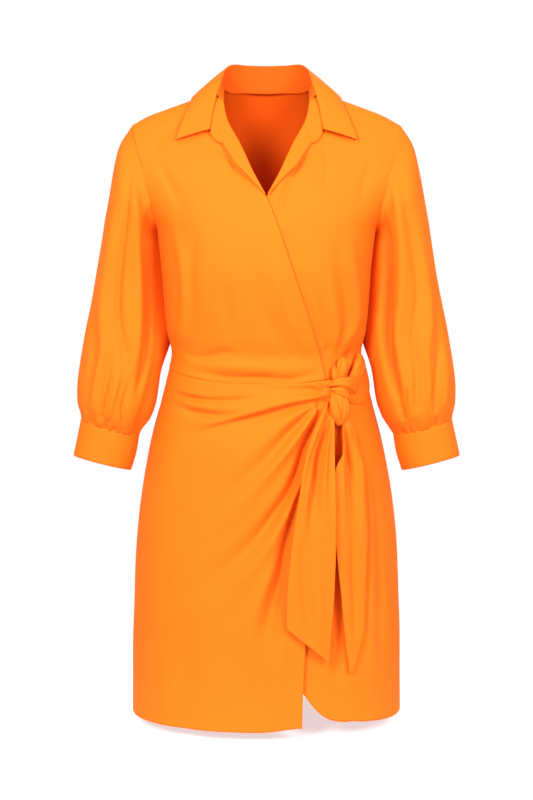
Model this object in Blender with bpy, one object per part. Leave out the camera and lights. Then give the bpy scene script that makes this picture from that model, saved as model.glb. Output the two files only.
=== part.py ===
"""Wrap shirt dress, filled out as it is worn: a crossed bodice with a shirt collar, full sleeves gathered into
cuffs, a wrapped skirt whose folds run from a knotted side tie, and the tie's two hanging ends.

Metres, +Z up, front towards -Y, the wearer's left towards +X. The origin is midway between the two neck points of
the shoulders, where the wearer carries the dress. Every piece of cloth is a wall lofted between sections.
"""

import math

import bpy
from mathutils import Vector

# Driving dimensions
CLOTH = 0.0014  # wall of a single layer
SEAM = 0.0003  # gap between two pieces at a seam
LAYER = 0.0034  # depth that the under wrap lies below the over wrap
UNDERARM_Z = -0.205
HEM_Z = -0.910
WAIST_SIDE_Z = -0.4040  # waist seam at the sides
WAIST_DIP = 0.0105  # the seam is this much lower at the front
ROUNDNESS = 2.25  # power of the body's rounded sections
CHEST_FLAT = 0.50  # how much flatter than an ellipse the chest runs up to the shoulder
BACK_FLAT = 0.22
BUST_Z = -0.255
BUST_DEPTH = 0.129
BLADE_Z = -0.215
BLADE_DEPTH = 0.110
NECK_X = 0.062  # half the width of the neck opening at the shoulders
NECK_Z = -0.005
NECK_BACK = 0.055  # depth of the neck opening behind the shoulder seam
NAPE_RISE = 0.048
SHOULDER_TIP = Vector((0.192, 0.0, -0.053))
ARMHOLE_LOW = Vector((0.1563, 0.0, UNDERARM_Z))
ARMHOLE_FULL = 0.70  # the armhole's depth as a share of the body's depth there
ROWS_BELOW = 9  # rows of a bodice panel below the underarm
ROWS_ABOVE = 18  # and above it, as many as half a sleeve has columns
SPLIT = ROWS_BELOW / (ROWS_BELOW + ROWS_ABOVE)

# height, half width, front depth, back depth
BODY = (
    (-0.940, 0.1980, 0.1325, 0.1240),
    (-0.820, 0.1962, 0.1315, 0.1250),
    (-0.720, 0.1930, 0.1300, 0.1265),
    (-0.640, 0.1880, 0.1285, 0.1270),
    (-0.570, 0.1793, 0.1260, 0.1250),
    (-0.510, 0.1675, 0.1225, 0.1180),
    (-0.455, 0.1530, 0.1165, 0.1065),
    (-0.410, 0.1420, 0.1085, 0.0950),
    (-0.381, 0.1368, 0.1040, 0.0905),
    (-0.350, 0.1432, 0.1120, 0.0945),
    (-0.305, 0.1475, 0.1220, 0.1000),
    (-0.255, 0.1512, 0.1290, 0.1070),
    (-0.215, 0.1555, 0.1290, 0.1100),
    (-0.165, 0.1600, 0.1290, 0.1100),
)

# height, x of the over wrap's edge: the V neckline, then the diagonal down to the knot
WRAP_EDGE = (
    (-0.430, 0.0860),
    (-0.3966, 0.0800),
    (-0.3009, 0.0519),
    (-0.2225, 0.0262),
    (-0.1848, 0.0131),
    (-0.1527, -0.0004),
    (-0.1214, -0.0178),
    (-0.0823, -0.0372),
    (-0.0574, -0.0513),
    (-0.0403, -0.0572),
    (-0.0081, -0.0618),
    (0.0100, -0.0625),
)

# height, x of the over skirt's hanging edge
SKIRT_EDGE = (
    (-0.940, 0.0500),
    (-0.860, 0.0514),
    (-0.786, 0.0550),
    (-0.700, 0.0625),
    (-0.600, 0.0740),
    (-0.500, 0.0875),
    (-0.450, 0.0915),
    (-0.400, 0.0900),
)

# height, x of the under skirt's hidden edge
UNDER_EDGE = (
    (-0.940, 0.0400),
    (-0.820, 0.0390),
    (-0.600, 0.0200),
    (-0.400, -0.0100),
)
UNDER_CORNER = (0.157, -0.820)  # centre of the under skirt's rounded hem corner
UNDER_CORNER_SIZE = (0.118, 0.0915)

# Folds of the over skirt, as swells between the creases that run out of the knot.
# x and z where it starts, bends and ends, half width at both ends, height, share of its length where it is fullest
SKIRT_SWELLS = (
    (0.082, -0.426, 0.010, -0.434, -0.110, -0.424, 0.0060, 0.0140, 0.0045, 0.55),
    (0.084, -0.438, 0.000, -0.447, -0.110, -0.464, 0.0050, 0.0150, 0.0060, 0.55),
    (0.084, -0.449, 0.010, -0.476, -0.100, -0.512, 0.0060, 0.0300, 0.0080, 0.35),
    (0.083, -0.456, 0.034, -0.512, -0.060, -0.600, 0.0050, 0.0220, 0.0090, 0.40),
    (0.082, -0.464, 0.040, -0.560, -0.050, -0.720, 0.0050, 0.0260, 0.0110, 0.40),
    (0.085, -0.474, 0.044, -0.620, -0.020, -0.860, 0.0050, 0.0300, 0.0100, 0.45),
)

# Sections of the right half's sleeve: share of its length, outer x and z, inner x and z, half depth, centre y
SLEEVE = (
    (0.000, 0.1920, -0.0530, 0.1565, -0.2050, 0.0640, 0.0000),
    (0.080, 0.2080, -0.0810, 0.1572, -0.2090, 0.0650, 0.0000),
    (0.170, 0.2180, -0.1205, 0.1576, -0.2130, 0.0645, 0.0000),
    (0.260, 0.2258, -0.1630, 0.1574, -0.2190, 0.0630, -0.0005),
    (0.350, 0.2340, -0.2059, 0.1560, -0.2290, 0.0615, -0.0010),
    (0.500, 0.2472, -0.2777, 0.1535, -0.3010, 0.0600, -0.0030),
    (0.650, 0.2605, -0.3500, 0.1496, -0.3760, 0.0595, -0.0070),
    (0.800, 0.2712, -0.4160, 0.1570, -0.4430, 0.0600, -0.0120),
    (0.890, 0.2722, -0.4500, 0.1665, -0.4730, 0.0560, -0.0145),
    (0.960, 0.2690, -0.4680, 0.1780, -0.4912, 0.0470, -0.0160),
    (1.000, 0.2677, -0.4758, 0.1833, -0.4993, 0.0410, -0.0166),
)
SLEEVE_GATHERS = 12
GATHER_DEPTH = 0.0024
GATHER_REACH = 0.20  # share of the sleeve over which the gathers die out
SLEEVE_FOLDS = 5  # long soft folds down the sleeve
FOLD_DEPTH = 0.0016

# share, outer x and z, inner x and z, half depth, centre y
CUFF = (
    (0.0, 0.2678, -0.4763, 0.1835, -0.4998, 0.0410, -0.0167),
    (0.5, 0.2734, -0.5030, 0.1880, -0.5252, 0.0405, -0.0180),
    (1.0, 0.2790, -0.5296, 0.1958, -0.5512, 0.0398, -0.0193),
)

# Collar leaf, half of it from the centre back to its front end:
# share of the half, roll line x y z, outer edge x y z, swell over the roll
LEAF = (
    (0.000, 0.0000, 0.0548, 0.0316, 0.0000, 0.0800, -0.0290, 0.0100),
    (0.124, 0.0279, 0.0495, 0.0316, 0.0380, 0.0755, -0.0290, 0.0100),
    (0.279, 0.0490, 0.0352, 0.0292, 0.0790, 0.0570, -0.0255, 0.0095),
    (0.434, 0.0600, 0.0172, 0.0215, 0.1000, 0.0290, -0.0195, 0.0085),
    (0.546, 0.0632, 0.0002, 0.0135, 0.1050, 0.0020, -0.0165, 0.0075),
    (0.620, 0.0668, -0.0145, 0.0035, 0.1080, -0.0115, -0.0235, 0.0060),
    (0.810, 0.0743, -0.0375, -0.0300, 0.1170, -0.0330, -0.0460, 0.0030),
    (1.000, 0.0795, -0.0575, -0.0610, 0.1285, -0.0490, -0.0760, 0.0008),
)

# share of the half, bottom x y z, top x y z
STAND = (
    (0.00, 0.0000, 0.0550, -0.0048, 0.0000, 0.0562, 0.0280),
    (0.20, 0.0275, 0.0495, -0.0066, 0.0285, 0.0508, 0.0280),
    (0.45, 0.0478, 0.0352, -0.0085, 0.0500, 0.0365, 0.0252),
    (0.70, 0.0590, 0.0172, -0.0064, 0.0612, 0.0182, 0.0172),
    (0.88, 0.0612, 0.0010, -0.0038, 0.0640, 0.0012, 0.0105),
    (1.00, 0.0608, -0.0105, -0.0068, 0.0625, -0.0110, 0.0020),
)

# Front end of the stand, turned out flat: fold x z, outer x z, lift of the outer edge
STAND_END = (
    (0.0, 0.0632, -0.0150, 0.0700, -0.0165, 0.0036),
    (0.3, 0.0612, -0.0215, 0.0730, -0.0250, 0.0034),
    (0.6, 0.0590, -0.0350, 0.0768, -0.0480, 0.0034),
    (0.8, 0.0562, -0.0450, 0.0770, -0.0690, 0.0034),
    (0.9, 0.0542, -0.0510, 0.0700, -0.0785, 0.0038),
    (1.0, 0.0520, -0.0565, 0.0605, -0.0835, 0.0034),
)

# Front facing, turned out flat: fold x z, outer x z, lift of the outer edge
FACING = (
    (0.0, 0.0505, -0.0585, 0.0597, -0.0848, 0.0045),
    (0.2, 0.0430, -0.0710, 0.0500, -0.0985, 0.0040),
    (0.4, 0.0365, -0.0823, 0.0425, -0.1105, 0.0045),
    (0.6, 0.0290, -0.0975, 0.0345, -0.1180, 0.0035),
    (0.8, 0.0190, -0.1190, 0.0225, -0.1292, 0.0030),
    (1.0, 0.0065, -0.1415, 0.0078, -0.1445, 0.0024),
)

# Hanging ends of the tie: height, left x, right x, lift off the skirt
TAIL_FRONT = (
    (-0.4652, 0.0800, 0.0940, 0.0075),
    (-0.5020, 0.0600, 0.0945, 0.0130),
    (-0.5715, 0.0454, 0.0966, 0.0175),
    (-0.6425, 0.0351, 0.0971, 0.0165),
    (-0.7139, 0.0290, 0.0950, 0.0150),
    (-0.7565, 0.0288, 0.0920, 0.0140),
    (-0.8080, 0.0280, 0.0885, 0.0130),
)
TAIL_FRONT_POINT = 0.0510  # the long edge ends this much lower than the short one
TAIL_BACK = (
    (-0.4656, 0.1010, 0.1130, 0.0070),
    (-0.5024, 0.0985, 0.1242, 0.0095),
    (-0.5362, 0.0985, 0.1348, 0.0110),
    (-0.6069, 0.0995, 0.1422, 0.0095),
    (-0.6600, 0.1030, 0.1420, 0.0080),
    (-0.7139, 0.1085, 0.1399, 0.0070),
    (-0.7671, 0.1150, 0.1384, 0.0065),
    (-0.8264, 0.1180, 0.1225, 0.0060),
)

# Side band of the tie: share from the knot to the side seam, angle round the body, lower and upper height
BAND = (
    (0.0, 36.0, -0.4470, -0.4020),
    (0.4, 26.0, -0.4480, -0.3930),
    (1.0, 1.0, -0.4310, -0.3810),
)

# Rolls of cloth at the knot: x and z, half sizes across, out and along, lean in degrees, lift off the body
KNOT_ROLLS = (
    ("left", 0.0930, -0.4450, 0.0095, 0.0100, 0.0235, -10.0, 0.0102),
    ("right", 0.1045, -0.4480, 0.0088, 0.0095, 0.0205, 12.0, 0.0092),
    ("top", 0.0985, -0.4185, 0.0150, 0.0100, 0.0110, -28.0, 0.0115),
)
TIE_LOOPS = (
    ("inner", 0.1015, -0.3915, 0.0085, 0.0040, 0.0140, 14.0, 0.0034),
    ("outer", 0.1228, -0.3848, 0.0062, 0.0036, 0.0150, -24.0, 0.0062),
)

Y_AXIS = Vector((0.0, 1.0, 0.0))
Z_AXIS = Vector((0.0, 0.0, 1.0))
CUFF_AXIS = Vector((CUFF[2][1] - CUFF[0][1], 0.0, CUFF[2][2] - CUFF[0][2])).normalized()

ORANGE = (0.95, 0.30, 0.025, 1.0)
ORANGE_ROUGHNESS = 0.78


# Small curves
def ease(share):
    """0 to 1 with level ends, held outside that range."""
    share = min(1.0, max(0.0, share))
    return share * share * (3.0 - 2.0 * share)


def mix(first, second, share):
    return first + (second - first) * share


def through(rows, key):
    """The values at key on smooth curves through rows of (key, value, value ...)."""
    last = len(rows) - 1
    key = min(max(key, rows[0][0]), rows[last][0])
    place = next(i for i in range(last) if key <= rows[i + 1][0])
    before, low, high, after = (rows[min(max(place + step, 0), last)] for step in (-1, 0, 1, 2))
    span = high[0] - low[0]
    share = (key - low[0]) / span
    values = []
    for column in range(1, len(low)):
        slope_low = (high[column] - before[column]) / (high[0] - before[0]) * span
        slope_high = (after[column] - low[column]) / (after[0] - low[0]) * span
        rise = high[column] - low[column]
        bend = (slope_low - rise) * (1.0 - share) - (slope_high - rise) * share
        values.append(low[column] + share * rise + share * (1.0 - share) * bend)
    return values


# The worn form that the cloth follows
def shoulder_z(x, back=False):
    """Height of the shoulder line; within the neck opening's width the back climbs on to the nape."""
    slope = (SHOULDER_TIP.z - NECK_Z) / (SHOULDER_TIP.x - NECK_X)
    if abs(x) >= NECK_X:
        return NECK_Z + slope * (abs(x) - NECK_X)
    if not back:
        return NECK_Z
    inwards = 1.0 - (x / NECK_X) ** 2
    level = -slope * NECK_X / 2.0
    return NECK_Z + level * inwards + (NAPE_RISE - level) * inwards**2


def depth_at(x, z, back=False):
    """Depth of the body's middle at this height, rounding over to nothing at the shoulder line."""
    base_z, depth, flat = (BLADE_Z, BLADE_DEPTH, BACK_FLAT) if back else (BUST_Z, BUST_DEPTH, CHEST_FLAT)
    if z <= base_z:
        return through(BODY, z)[2 if back else 1]
    share = min(1.0, (z - base_z) / (shoulder_z(x, back) - base_z))
    return depth * math.sqrt(1.0 - share**2) * (1.0 - flat * share**2)


def share_at_depth(depth_share):
    """How far up the back has curved in to this share of its depth."""
    low, high = 0.0, 1.0
    for _ in range(40):
        share = (low + high) / 2.0
        if math.sqrt(1.0 - share**2) * (1.0 - BACK_FLAT * share**2) > depth_share:
            low = share
        else:
            high = share
    return (low + high) / 2.0


def armhole(rise, back=False):
    """Point of the right armhole at a share of its height, on the front or the back half."""
    point = ARMHOLE_LOW.lerp(SHOULDER_TIP, rise)
    full = ARMHOLE_FULL * math.sqrt(max(0.0, 1.0 - (1.0 - rise) ** 2.4))
    depth = full * depth_at(point.x, point.z, back)
    return Vector((point.x, depth if back else -depth, point.z))


def section_width(rise, back=False):
    """Half width of the rounded section whose side passes through the armhole at this rise."""
    point = armhole(rise, back)
    share = min(0.995, abs(point.y) / max(1e-6, depth_at(point.x, point.z, back)))
    return point.x / (1.0 - share**ROUNDNESS) ** (1.0 / ROUNDNESS)


def chest_point(x, rise, back=False):
    """Point of the chest or back above the underarm, at a share of the rise to the shoulder line."""
    z = mix(UNDERARM_Z, shoulder_z(x, back), rise)
    at_seam = ease(abs(x) / armhole(rise, back).x) ** 2
    width = mix(ARMHOLE_LOW.x + 0.05 * rise, section_width(rise, back), at_seam)
    side = max(0.0, 1.0 - min(1.0, abs(x) / width) ** ROUNDNESS) ** (1.0 / ROUNDNESS)
    depth = depth_at(x, z, back) * side
    return Vector((x, depth if back else -depth, z))


def girth_point(angle, z):
    """Point of the body's section at this height; 0 degrees is the wearer's left, 90 the front."""
    turn = math.radians(angle)
    width = through(BODY, z)[0]
    across, along = math.cos(turn), math.sin(turn)
    x = math.copysign(width * abs(across) ** (2.0 / ROUNDNESS), across)
    depth = depth_at(x, z, along < 0.0) * abs(along) ** (2.0 / ROUNDNESS)
    return Vector((x, math.copysign(depth, -along), z))


def angle_of(x, width):
    """Angle of the front point of a section that lies at x."""
    share = min(1.0, abs(x) / width)
    angle = math.degrees(math.acos(share ** (ROUNDNESS / 2.0)))
    return angle if x >= 0.0 else 180.0 - angle


def front_point(x, z):
    """Point of the dress front at x and z, above or below the underarm."""
    if z <= UNDERARM_Z:
        width = through(BODY, z)[0]
        return girth_point(angle_of(x, width), z)
    rise = min(1.0, (z - UNDERARM_Z) / (shoulder_z(x) - UNDERARM_Z))
    return chest_point(x, rise)


def lifted_front(x, z, lift):
    """A point that stands off the dress front, square to it."""
    step = 0.002
    across = front_point(x + step, z) - front_point(x - step, z)
    rising = front_point(x, z + step / 2) - front_point(x, z - step)
    return front_point(x, z) + across.cross(rising).normalized() * lift


def waist_z(angle):
    """Height of the waist seam round the body."""
    return WAIST_SIDE_Z - WAIST_DIP * max(0.0, math.sin(math.radians(angle))) ** 2


# Panels, each a surface of u across and v up or down
def rows_of(v):
    """Splits a bodice panel's v into the share below the underarm and the rise above it."""
    if v <= SPLIT:
        return v / SPLIT, 0.0
    return 1.0, (1.0 - math.cos(math.pi * (v - SPLIT) / (1.0 - SPLIT))) / 2.0


def bodice_front(side, sink):
    """One wrapped front, from its side seam and armhole to its wrap edge; side is 1 for the wearer's left."""

    def surface(u, v):
        low, rise = rows_of(v)
        if rise == 0.0:
            z_edge = mix(WAIST_SIDE_Z - WAIST_DIP, UNDERARM_Z, low)
            width = through(BODY, z_edge)[0]
            outer = 0.0
        else:
            z_edge = mix(UNDERARM_Z, NECK_Z, rise)
            width = section_width(rise)
            outer = angle_of(armhole(rise).x, width)
        edge_x = through(WRAP_EDGE, z_edge)[0]
        inner = angle_of(-edge_x, width)
        angle = mix(outer, inner, u)
        if rise == 0.0:
            z = mix(waist_z(angle) + SEAM / 2, UNDERARM_Z, low)
            point = girth_point(angle, z)
        else:
            turn = math.radians(angle)
            x = math.copysign(width * abs(math.cos(turn)) ** (2.0 / ROUNDNESS), math.cos(turn))
            point = chest_point(x, rise)
        point.y -= SEAM / 2
        if sink:
            past = point.x - through(WRAP_EDGE, point.z)[0]
            point.y += LAYER * (1.0 - ease((past - 0.004) / 0.034)) * ease((-0.085 - point.z) / 0.06)
        point.x *= side
        return point

    return surface


def bodice_back(u, v):
    """The back, from the wearer's right side to the left, and up round the nape."""
    side = -1.0 if u < 0.5 else 1.0
    share = abs(2.0 * u - 1.0)  # 0 at the centre back, 1 at the side seam
    low, rise = rows_of(v)
    neck_share = 0.42
    width = through(BODY, mix(WAIST_SIDE_Z, UNDERARM_Z, low))[0] if rise == 0.0 else section_width(rise, True)
    if share <= neck_share:
        x = NECK_X * math.sin(math.pi / 2 * share / neck_share)
    else:
        outer = 0.0 if rise == 0.0 else angle_of(armhole(rise, True).x, width)
        angle = mix(angle_of(NECK_X, width), outer, (share - neck_share) / (1.0 - neck_share))
        x = width * math.cos(math.radians(angle)) ** (2.0 / ROUNDNESS)
    if rise == 0.0:
        z = mix(WAIST_SIDE_Z + SEAM / 2, UNDERARM_Z, low)
        point = girth_point(-angle_of(side * x, through(BODY, z)[0]), z)
        return point + Vector((0.0, SEAM / 2, 0.0))
    if x < NECK_X:
        opening = NECK_BACK * math.sqrt(1.0 - (x / NECK_X) ** 2)
        top = share_at_depth(opening / BLADE_DEPTH)
        top_z = BLADE_Z + top * (shoulder_z(x, True) - BLADE_Z)
        highest = (top_z - UNDERARM_Z) / (shoulder_z(x, True) - UNDERARM_Z)
        rise *= 1.0 - (1.0 - highest) * rise**3
    return chest_point(side * x, rise, True) + Vector((0.0, SEAM / 2, 0.0))


def swell_height(x, z):
    """How far the over skirt's folds stand off the body at x and z."""
    height = 0.0
    for x0, z0, x1, z1, x2, z2, narrow, wide, peak, fullest in SKIRT_SWELLS:
        nearest, along = 1.0, 0.0
        for step in range(25):
            t = step / 24.0
            px = (1 - t) ** 2 * x0 + 2 * t * (1 - t) * x1 + t * t * x2
            pz = (1 - t) ** 2 * z0 + 2 * t * (1 - t) * z1 + t * t * z2
            away = math.hypot(x - px, z - pz) / mix(narrow, wide, t)
            if away < nearest:
                nearest, along = away, t
        rise = ease(along / fullest + 0.25) * ease((1.0 - along) / (1.0 - fullest))
        height = max(height, peak * rise * (1.0 - nearest**2) ** 2)
    return height


def skirt_front_over(u, v):
    """The over wrap of the skirt, from the wearer's right side seam to its hanging edge."""
    top = waist_z(90.0)
    z_edge = mix(top, HEM_Z, v)
    width = through(BODY, z_edge)[0]
    angle = mix(180.0, angle_of(through(SKIRT_EDGE, z_edge)[0], width), u)
    z = mix(waist_z(angle) - SEAM / 2, HEM_Z, v)
    point = girth_point(angle, z)
    return point + Vector((0.0, -SEAM / 2 - swell_height(point.x, point.z), 0.0))


def skirt_front_under(u, v):
    """The under wrap of the skirt, from the wearer's left side seam to its hidden edge, with a rounded corner."""
    z_edge = mix(waist_z(90.0), HEM_Z, v)
    width = through(BODY, z_edge)[0]
    inner_x = through(UNDER_EDGE, z_edge)[0]
    angle = mix(0.0, angle_of(inner_x, width), u**0.9)
    x = girth_point(angle, z_edge).x
    out = min(1.0, max(0.0, (UNDER_CORNER[0] - x) / UNDER_CORNER_SIZE[0]))
    hem = min(UNDER_CORNER[1], UNDER_CORNER[1] - UNDER_CORNER_SIZE[1] * math.sqrt(1.0 - out * out))
    z = mix(waist_z(angle) - SEAM / 2, max(hem, HEM_Z), v)
    point = girth_point(angle, z)
    past = point.x - through(SKIRT_EDGE, point.z)[0]
    point.y += LAYER * (1.0 - ease((past - 0.003) / 0.030)) - SEAM / 2
    return point


def skirt_back(u, v):
    z = mix(WAIST_SIDE_Z - SEAM / 2, HEM_Z, v)
    return girth_point(mix(180.0, 360.0, u), z) + Vector((0.0, SEAM / 2, 0.0))


def tube_point(sections, share, turn):
    """Point of a sleeve or cuff: turn 90 degrees is its outer side, -90 its inner, 0 the front."""
    outer_x, outer_z, inner_x, inner_z, depth, centre = through(sections, share)
    rise = (1.0 + math.sin(turn)) / 2.0
    return Vector(
        (
            mix(inner_x, outer_x, rise),
            centre - depth * math.cos(turn),
            mix(inner_z, outer_z, rise),
        )
    )


def sleeve(u, v):
    """The wearer's left sleeve; u goes round it from the underarm by the front, v from the armhole to the cuff."""
    turn = math.pi * (2.0 * u - 0.5)
    point = tube_point(SLEEVE, v, turn)
    rise = (1.0 + math.sin(turn)) / 2.0
    seam = armhole(rise, math.cos(turn) < 0.0)
    point.y = mix(seam.y - math.copysign(SEAM / 2, math.cos(turn)), point.y, ease(v / 0.22))
    middle = tube_point(SLEEVE, v, math.pi / 2).lerp(tube_point(SLEEVE, v, -math.pi / 2), 0.5)
    out = (point - middle).normalized()
    gathered = ease((v - 1.0 + GATHER_REACH) / GATHER_REACH) * (1.0 - 0.6 * ease((v - 0.95) / 0.05))
    ripple = GATHER_DEPTH * gathered * math.cos(2 * math.pi * SLEEVE_GATHERS * u)
    clear_of_body = ease((math.sin(turn) + 0.95) / 0.5)
    fold = FOLD_DEPTH * clear_of_body * ease(v / 0.3) * ease((1.0 - v) / 0.2)
    ripple += fold * math.cos(2 * math.pi * (SLEEVE_FOLDS * u + 0.15 * v))
    return point + out * ripple


def cuff(u, v):
    return tube_point(CUFF, v, math.pi * (2.0 * u - 0.5))


def mirrored(surface):
    """The same surface for the wearer's right."""

    def other(u, v):
        point = surface(u, v)
        return Vector((-point.x, point.y, point.z))

    return other


def both_halves(u):
    """Side and share of a collar piece that runs from one front end round the nape to the other."""
    return (-1.0 if u < 0.5 else 1.0), abs(2.0 * u - 1.0)


def collar_stand(u, v):
    side, share = both_halves(u)
    low_x, low_y, low_z, top_x, top_y, top_z = through(STAND, share)
    low, top = Vector((low_x, low_y, low_z)), Vector((top_x, top_y, top_z))
    point = low.lerp(top, v)
    point.x *= side
    return point


def collar_leaf(u, v):
    """The leaf, v from the roll line over and down to its outer edge."""
    side, share = both_halves(u)
    roll_x, roll_y, roll_z, edge_x, edge_y, edge_z, swell = through(LEAF, share)
    roll, edge = Vector((roll_x, roll_y, roll_z)), Vector((edge_x, edge_y, edge_z))
    away = Vector((edge.x - roll.x, edge.y - roll.y, 0.0)).normalized()
    bend = roll.lerp(edge, 0.30) + (away + Vector((0.0, 0.0, 1.0))) * swell
    point = (1 - v) ** 2 * roll + 2 * v * (1 - v) * bend + v * v * edge
    point.x *= side
    return point


def turned_out(rows, side):
    """A strip that is folded outwards along the neckline and lies on the bodice front."""

    def surface(u, v):
        fold_x, fold_z, out_x, out_z, lift = through(rows, u)
        off = mix(0.0023, lift, v)
        point = lifted_front(mix(fold_x, out_x, v), mix(fold_z, out_z, v), off)
        point.x *= side
        return point

    return surface


def tail(rows, point_drop, folds):
    """A hanging end of the tie, in front of the skirt; folds is the depth of its soft lengthwise fold."""
    top, bottom = rows[0][0], rows[-1][0]
    table = tuple(reversed(rows))

    def surface(u, v):
        z = mix(top, bottom + point_drop * (1.0 - u), v)
        left, right, lift = through(table, z)
        x = mix(left, right, u)
        crease = folds * math.sin(2.0 * math.pi * (u + 0.1)) * ease((1.0 - v) * 1.6)
        base = girth_point(angle_of(x, through(BODY, z)[0]), z)
        return base + Vector((0.0, -(lift + crease), 0.0))

    return surface


def tie_band(u, v):
    """The tie between the knot and the side seam, v upwards."""
    angle, low, high = through(BAND, u)
    z = mix(low, high, v)
    point = girth_point(angle, z)
    away = Vector((point.x, point.y, 0.0)).normalized()
    gathered = 0.0012 * math.sin(6.0 * math.pi * v) * (1.0 - u)
    return point + away * (mix(0.0034, 0.0024, u) + gathered)


# Building
def facing_out(surface, u, v, step=0.004):
    """The surface's normal, from its own slopes."""
    u0, u1 = max(0.0, u - step), min(1.0, u + step)
    v0, v1 = max(0.0, v - step), min(1.0, v + step)
    across = surface(u1, v) - surface(u0, v)
    along = surface(u, v1) - surface(u, v0)
    return across.cross(along).normalized()


def closed_mesh(name, corners, faces):
    mesh = bpy.data.meshes.new(name)
    mesh.from_pydata(corners, [], faces)
    mesh.validate()
    return mesh


def cloth(name, surface, columns, rows, flip=False, tube=False, mitre=None, wall=CLOTH):
    """A wall of cloth between a surface and the same surface moved in by the wall's thickness.

    mitre gives the direction of the wall along a seam where two pieces meet at a corner.
    """
    outer, inner = [], []
    count = columns if tube else columns + 1
    for row in range(rows + 1):
        for column in range(count):
            u, v = column / columns, row / rows
            point = surface(u, v)
            normal = facing_out(surface, u, v) * (-1.0 if flip else 1.0)
            if mitre:
                normal = mitre(u, v, normal)
            outer.append(point)
            inner.append(point - normal * wall)
    total = len(outer)
    faces = []
    for row in range(rows):
        for column in range(columns):
            after = (column + 1) % count
            a, b = row * count + column, row * count + after
            c, d = b + count, a + count
            faces.append((a, b, c, d))
            faces.append((total + a, total + d, total + c, total + b))
    rim = [(c, (c + 1) % count) for c in range(columns)]
    for a, b in rim:
        faces.append((a, total + a, total + b, b))
        top = rows * count
        faces.append((top + a, top + b, total + top + b, total + top + a))
    if not tube:
        for row in range(rows):
            a, b = row * count, (row + 1) * count
            faces.append((a, b, total + b, total + a))
            c, d = a + columns, b + columns
            faces.append((c, total + c, total + d, d))
    if flip:
        faces = [tuple(reversed(face)) for face in faces]
    return place(name, closed_mesh(name, outer + inner, faces))


def place(name, mesh):
    piece = bpy.data.objects.new(name, mesh)
    GARMENT.objects.link(piece)
    mesh.shade_smooth()
    mesh.set_sharp_from_angle(angle=math.radians(50.0))
    mesh.materials.append(finish(name))
    return piece


def finish(name):
    material = bpy.data.materials.new(name)
    material.use_nodes = True
    shader = material.node_tree.nodes["Principled BSDF"]
    shader.inputs["Base Color"].default_value = ORANGE
    shader.inputs["Roughness"].default_value = ORANGE_ROUGHNESS
    shader.inputs["Metallic"].default_value = 0.0
    return material


def armhole_wall(rise, back):
    """Way out from the middle of the armhole: both walls of its seam end along it."""
    return (armhole(rise, back) - ARMHOLE_LOW.lerp(SHOULDER_TIP, 0.5)).normalized()


def without(vector, axis):
    """The unit vector with nothing along this axis."""
    return (vector - axis * vector.dot(axis)).normalized()


def sleeve_ends(u, v, normal):
    turn = math.pi * (2.0 * u - 0.5)
    if v == 0.0:
        return armhole_wall((1.0 + math.sin(turn)) / 2.0, math.cos(turn) < 0.0)
    return without(normal, CUFF_AXIS) if v == 1.0 else normal


def cuff_ends(u, v, normal):
    return without(normal, CUFF_AXIS) if v == 0.0 else normal


def bodice_ends(u, v, normal):
    """Walls of a bodice panel at its armholes, side seams, shoulder seams and waist seam."""
    rise = rows_of(v)[1]
    side = math.copysign(1.0, normal.x)
    at_side = u == 0.0 or (u == 1.0 and normal.y > 0.0)
    if at_side and rise > 0.0:
        out = armhole_wall(rise, normal.y > 0.0)
        return Vector((out.x * side, out.y, out.z))
    if at_side or v == 1.0:
        normal = without(normal, Y_AXIS)
    return without(normal, Z_AXIS) if v == 0.0 else normal


def skirt_ends(u, v, normal):
    if u == 0.0 or (u == 1.0 and abs(normal.x) > 0.9):
        normal = without(normal, Y_AXIS)
    return without(normal, Z_AXIS) if v == 0.0 else normal


def set_in(surface):
    """A sleeve moved off the armhole by the seam's gap."""

    def moved(u, v):
        point = surface(u, v)
        point.x += SEAM * 1.6 * (1.0 - ease(v / 0.1))
        return point

    return moved


def roll_of_cloth(name, x, z, across, out, along, lean, lift):
    """A rounded roll of the tie that lies on the body, from a sphere stretched along its lean."""
    middle = lifted_front(x, z, lift)
    facing = (middle - front_point(x, z)).normalized()
    level = facing.cross(Z_AXIS).normalized()
    upright = level.cross(facing)
    turn = math.radians(lean)
    along_way = upright * math.cos(turn) + level * math.sin(turn)
    across_way = facing.cross(along_way)
    bpy.ops.mesh.primitive_uv_sphere_add(segments=16, ring_count=9, location=(0.0, 0.0, 0.0))
    piece = bpy.context.object
    piece.name = piece.data.name = name
    for vertex in piece.data.vertices:
        a, o, l = vertex.co
        vertex.co = middle + across_way * (a * across) + facing * (o * out) + along_way * (l * along)
    for collection in list(piece.users_collection):
        collection.objects.unlink(piece)
    GARMENT.objects.link(piece)
    piece.data.shade_smooth()
    piece.data.materials.append(finish(name))
    return piece


def build_bodice():
    rows = ROWS_BELOW + ROWS_ABOVE
    cloth("bodice_front_over", bodice_front(-1.0, False), 12, rows, mitre=bodice_ends)
    cloth("bodice_front_under", bodice_front(1.0, True), 12, rows, flip=True, mitre=bodice_ends)
    cloth("bodice_back", bodice_back, 20, rows, flip=True, mitre=bodice_ends)


def build_collar():
    cloth("collar_stand", collar_stand, 22, 2, flip=True)
    cloth("collar_leaf", collar_leaf, 28, 4)
    for name, side in (("over", -1.0), ("under", 1.0)):
        cloth(f"stand_end_{name}", turned_out(STAND_END, side), 8, 2, flip=side < 0.0)
        cloth(f"facing_{name}", turned_out(FACING, side), 8, 2, flip=side < 0.0)


def build_sleeves():
    left = set_in(sleeve)
    cloth("sleeve_left", left, 36, 13, tube=True, flip=True, mitre=sleeve_ends)
    cloth("sleeve_right", mirrored(left), 36, 13, tube=True, mitre=other_side(sleeve_ends))
    cloth("cuff_left", cuff, 28, 2, tube=True, flip=True, mitre=cuff_ends)
    cloth("cuff_right", mirrored(cuff), 28, 2, tube=True, mitre=other_side(cuff_ends))


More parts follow.
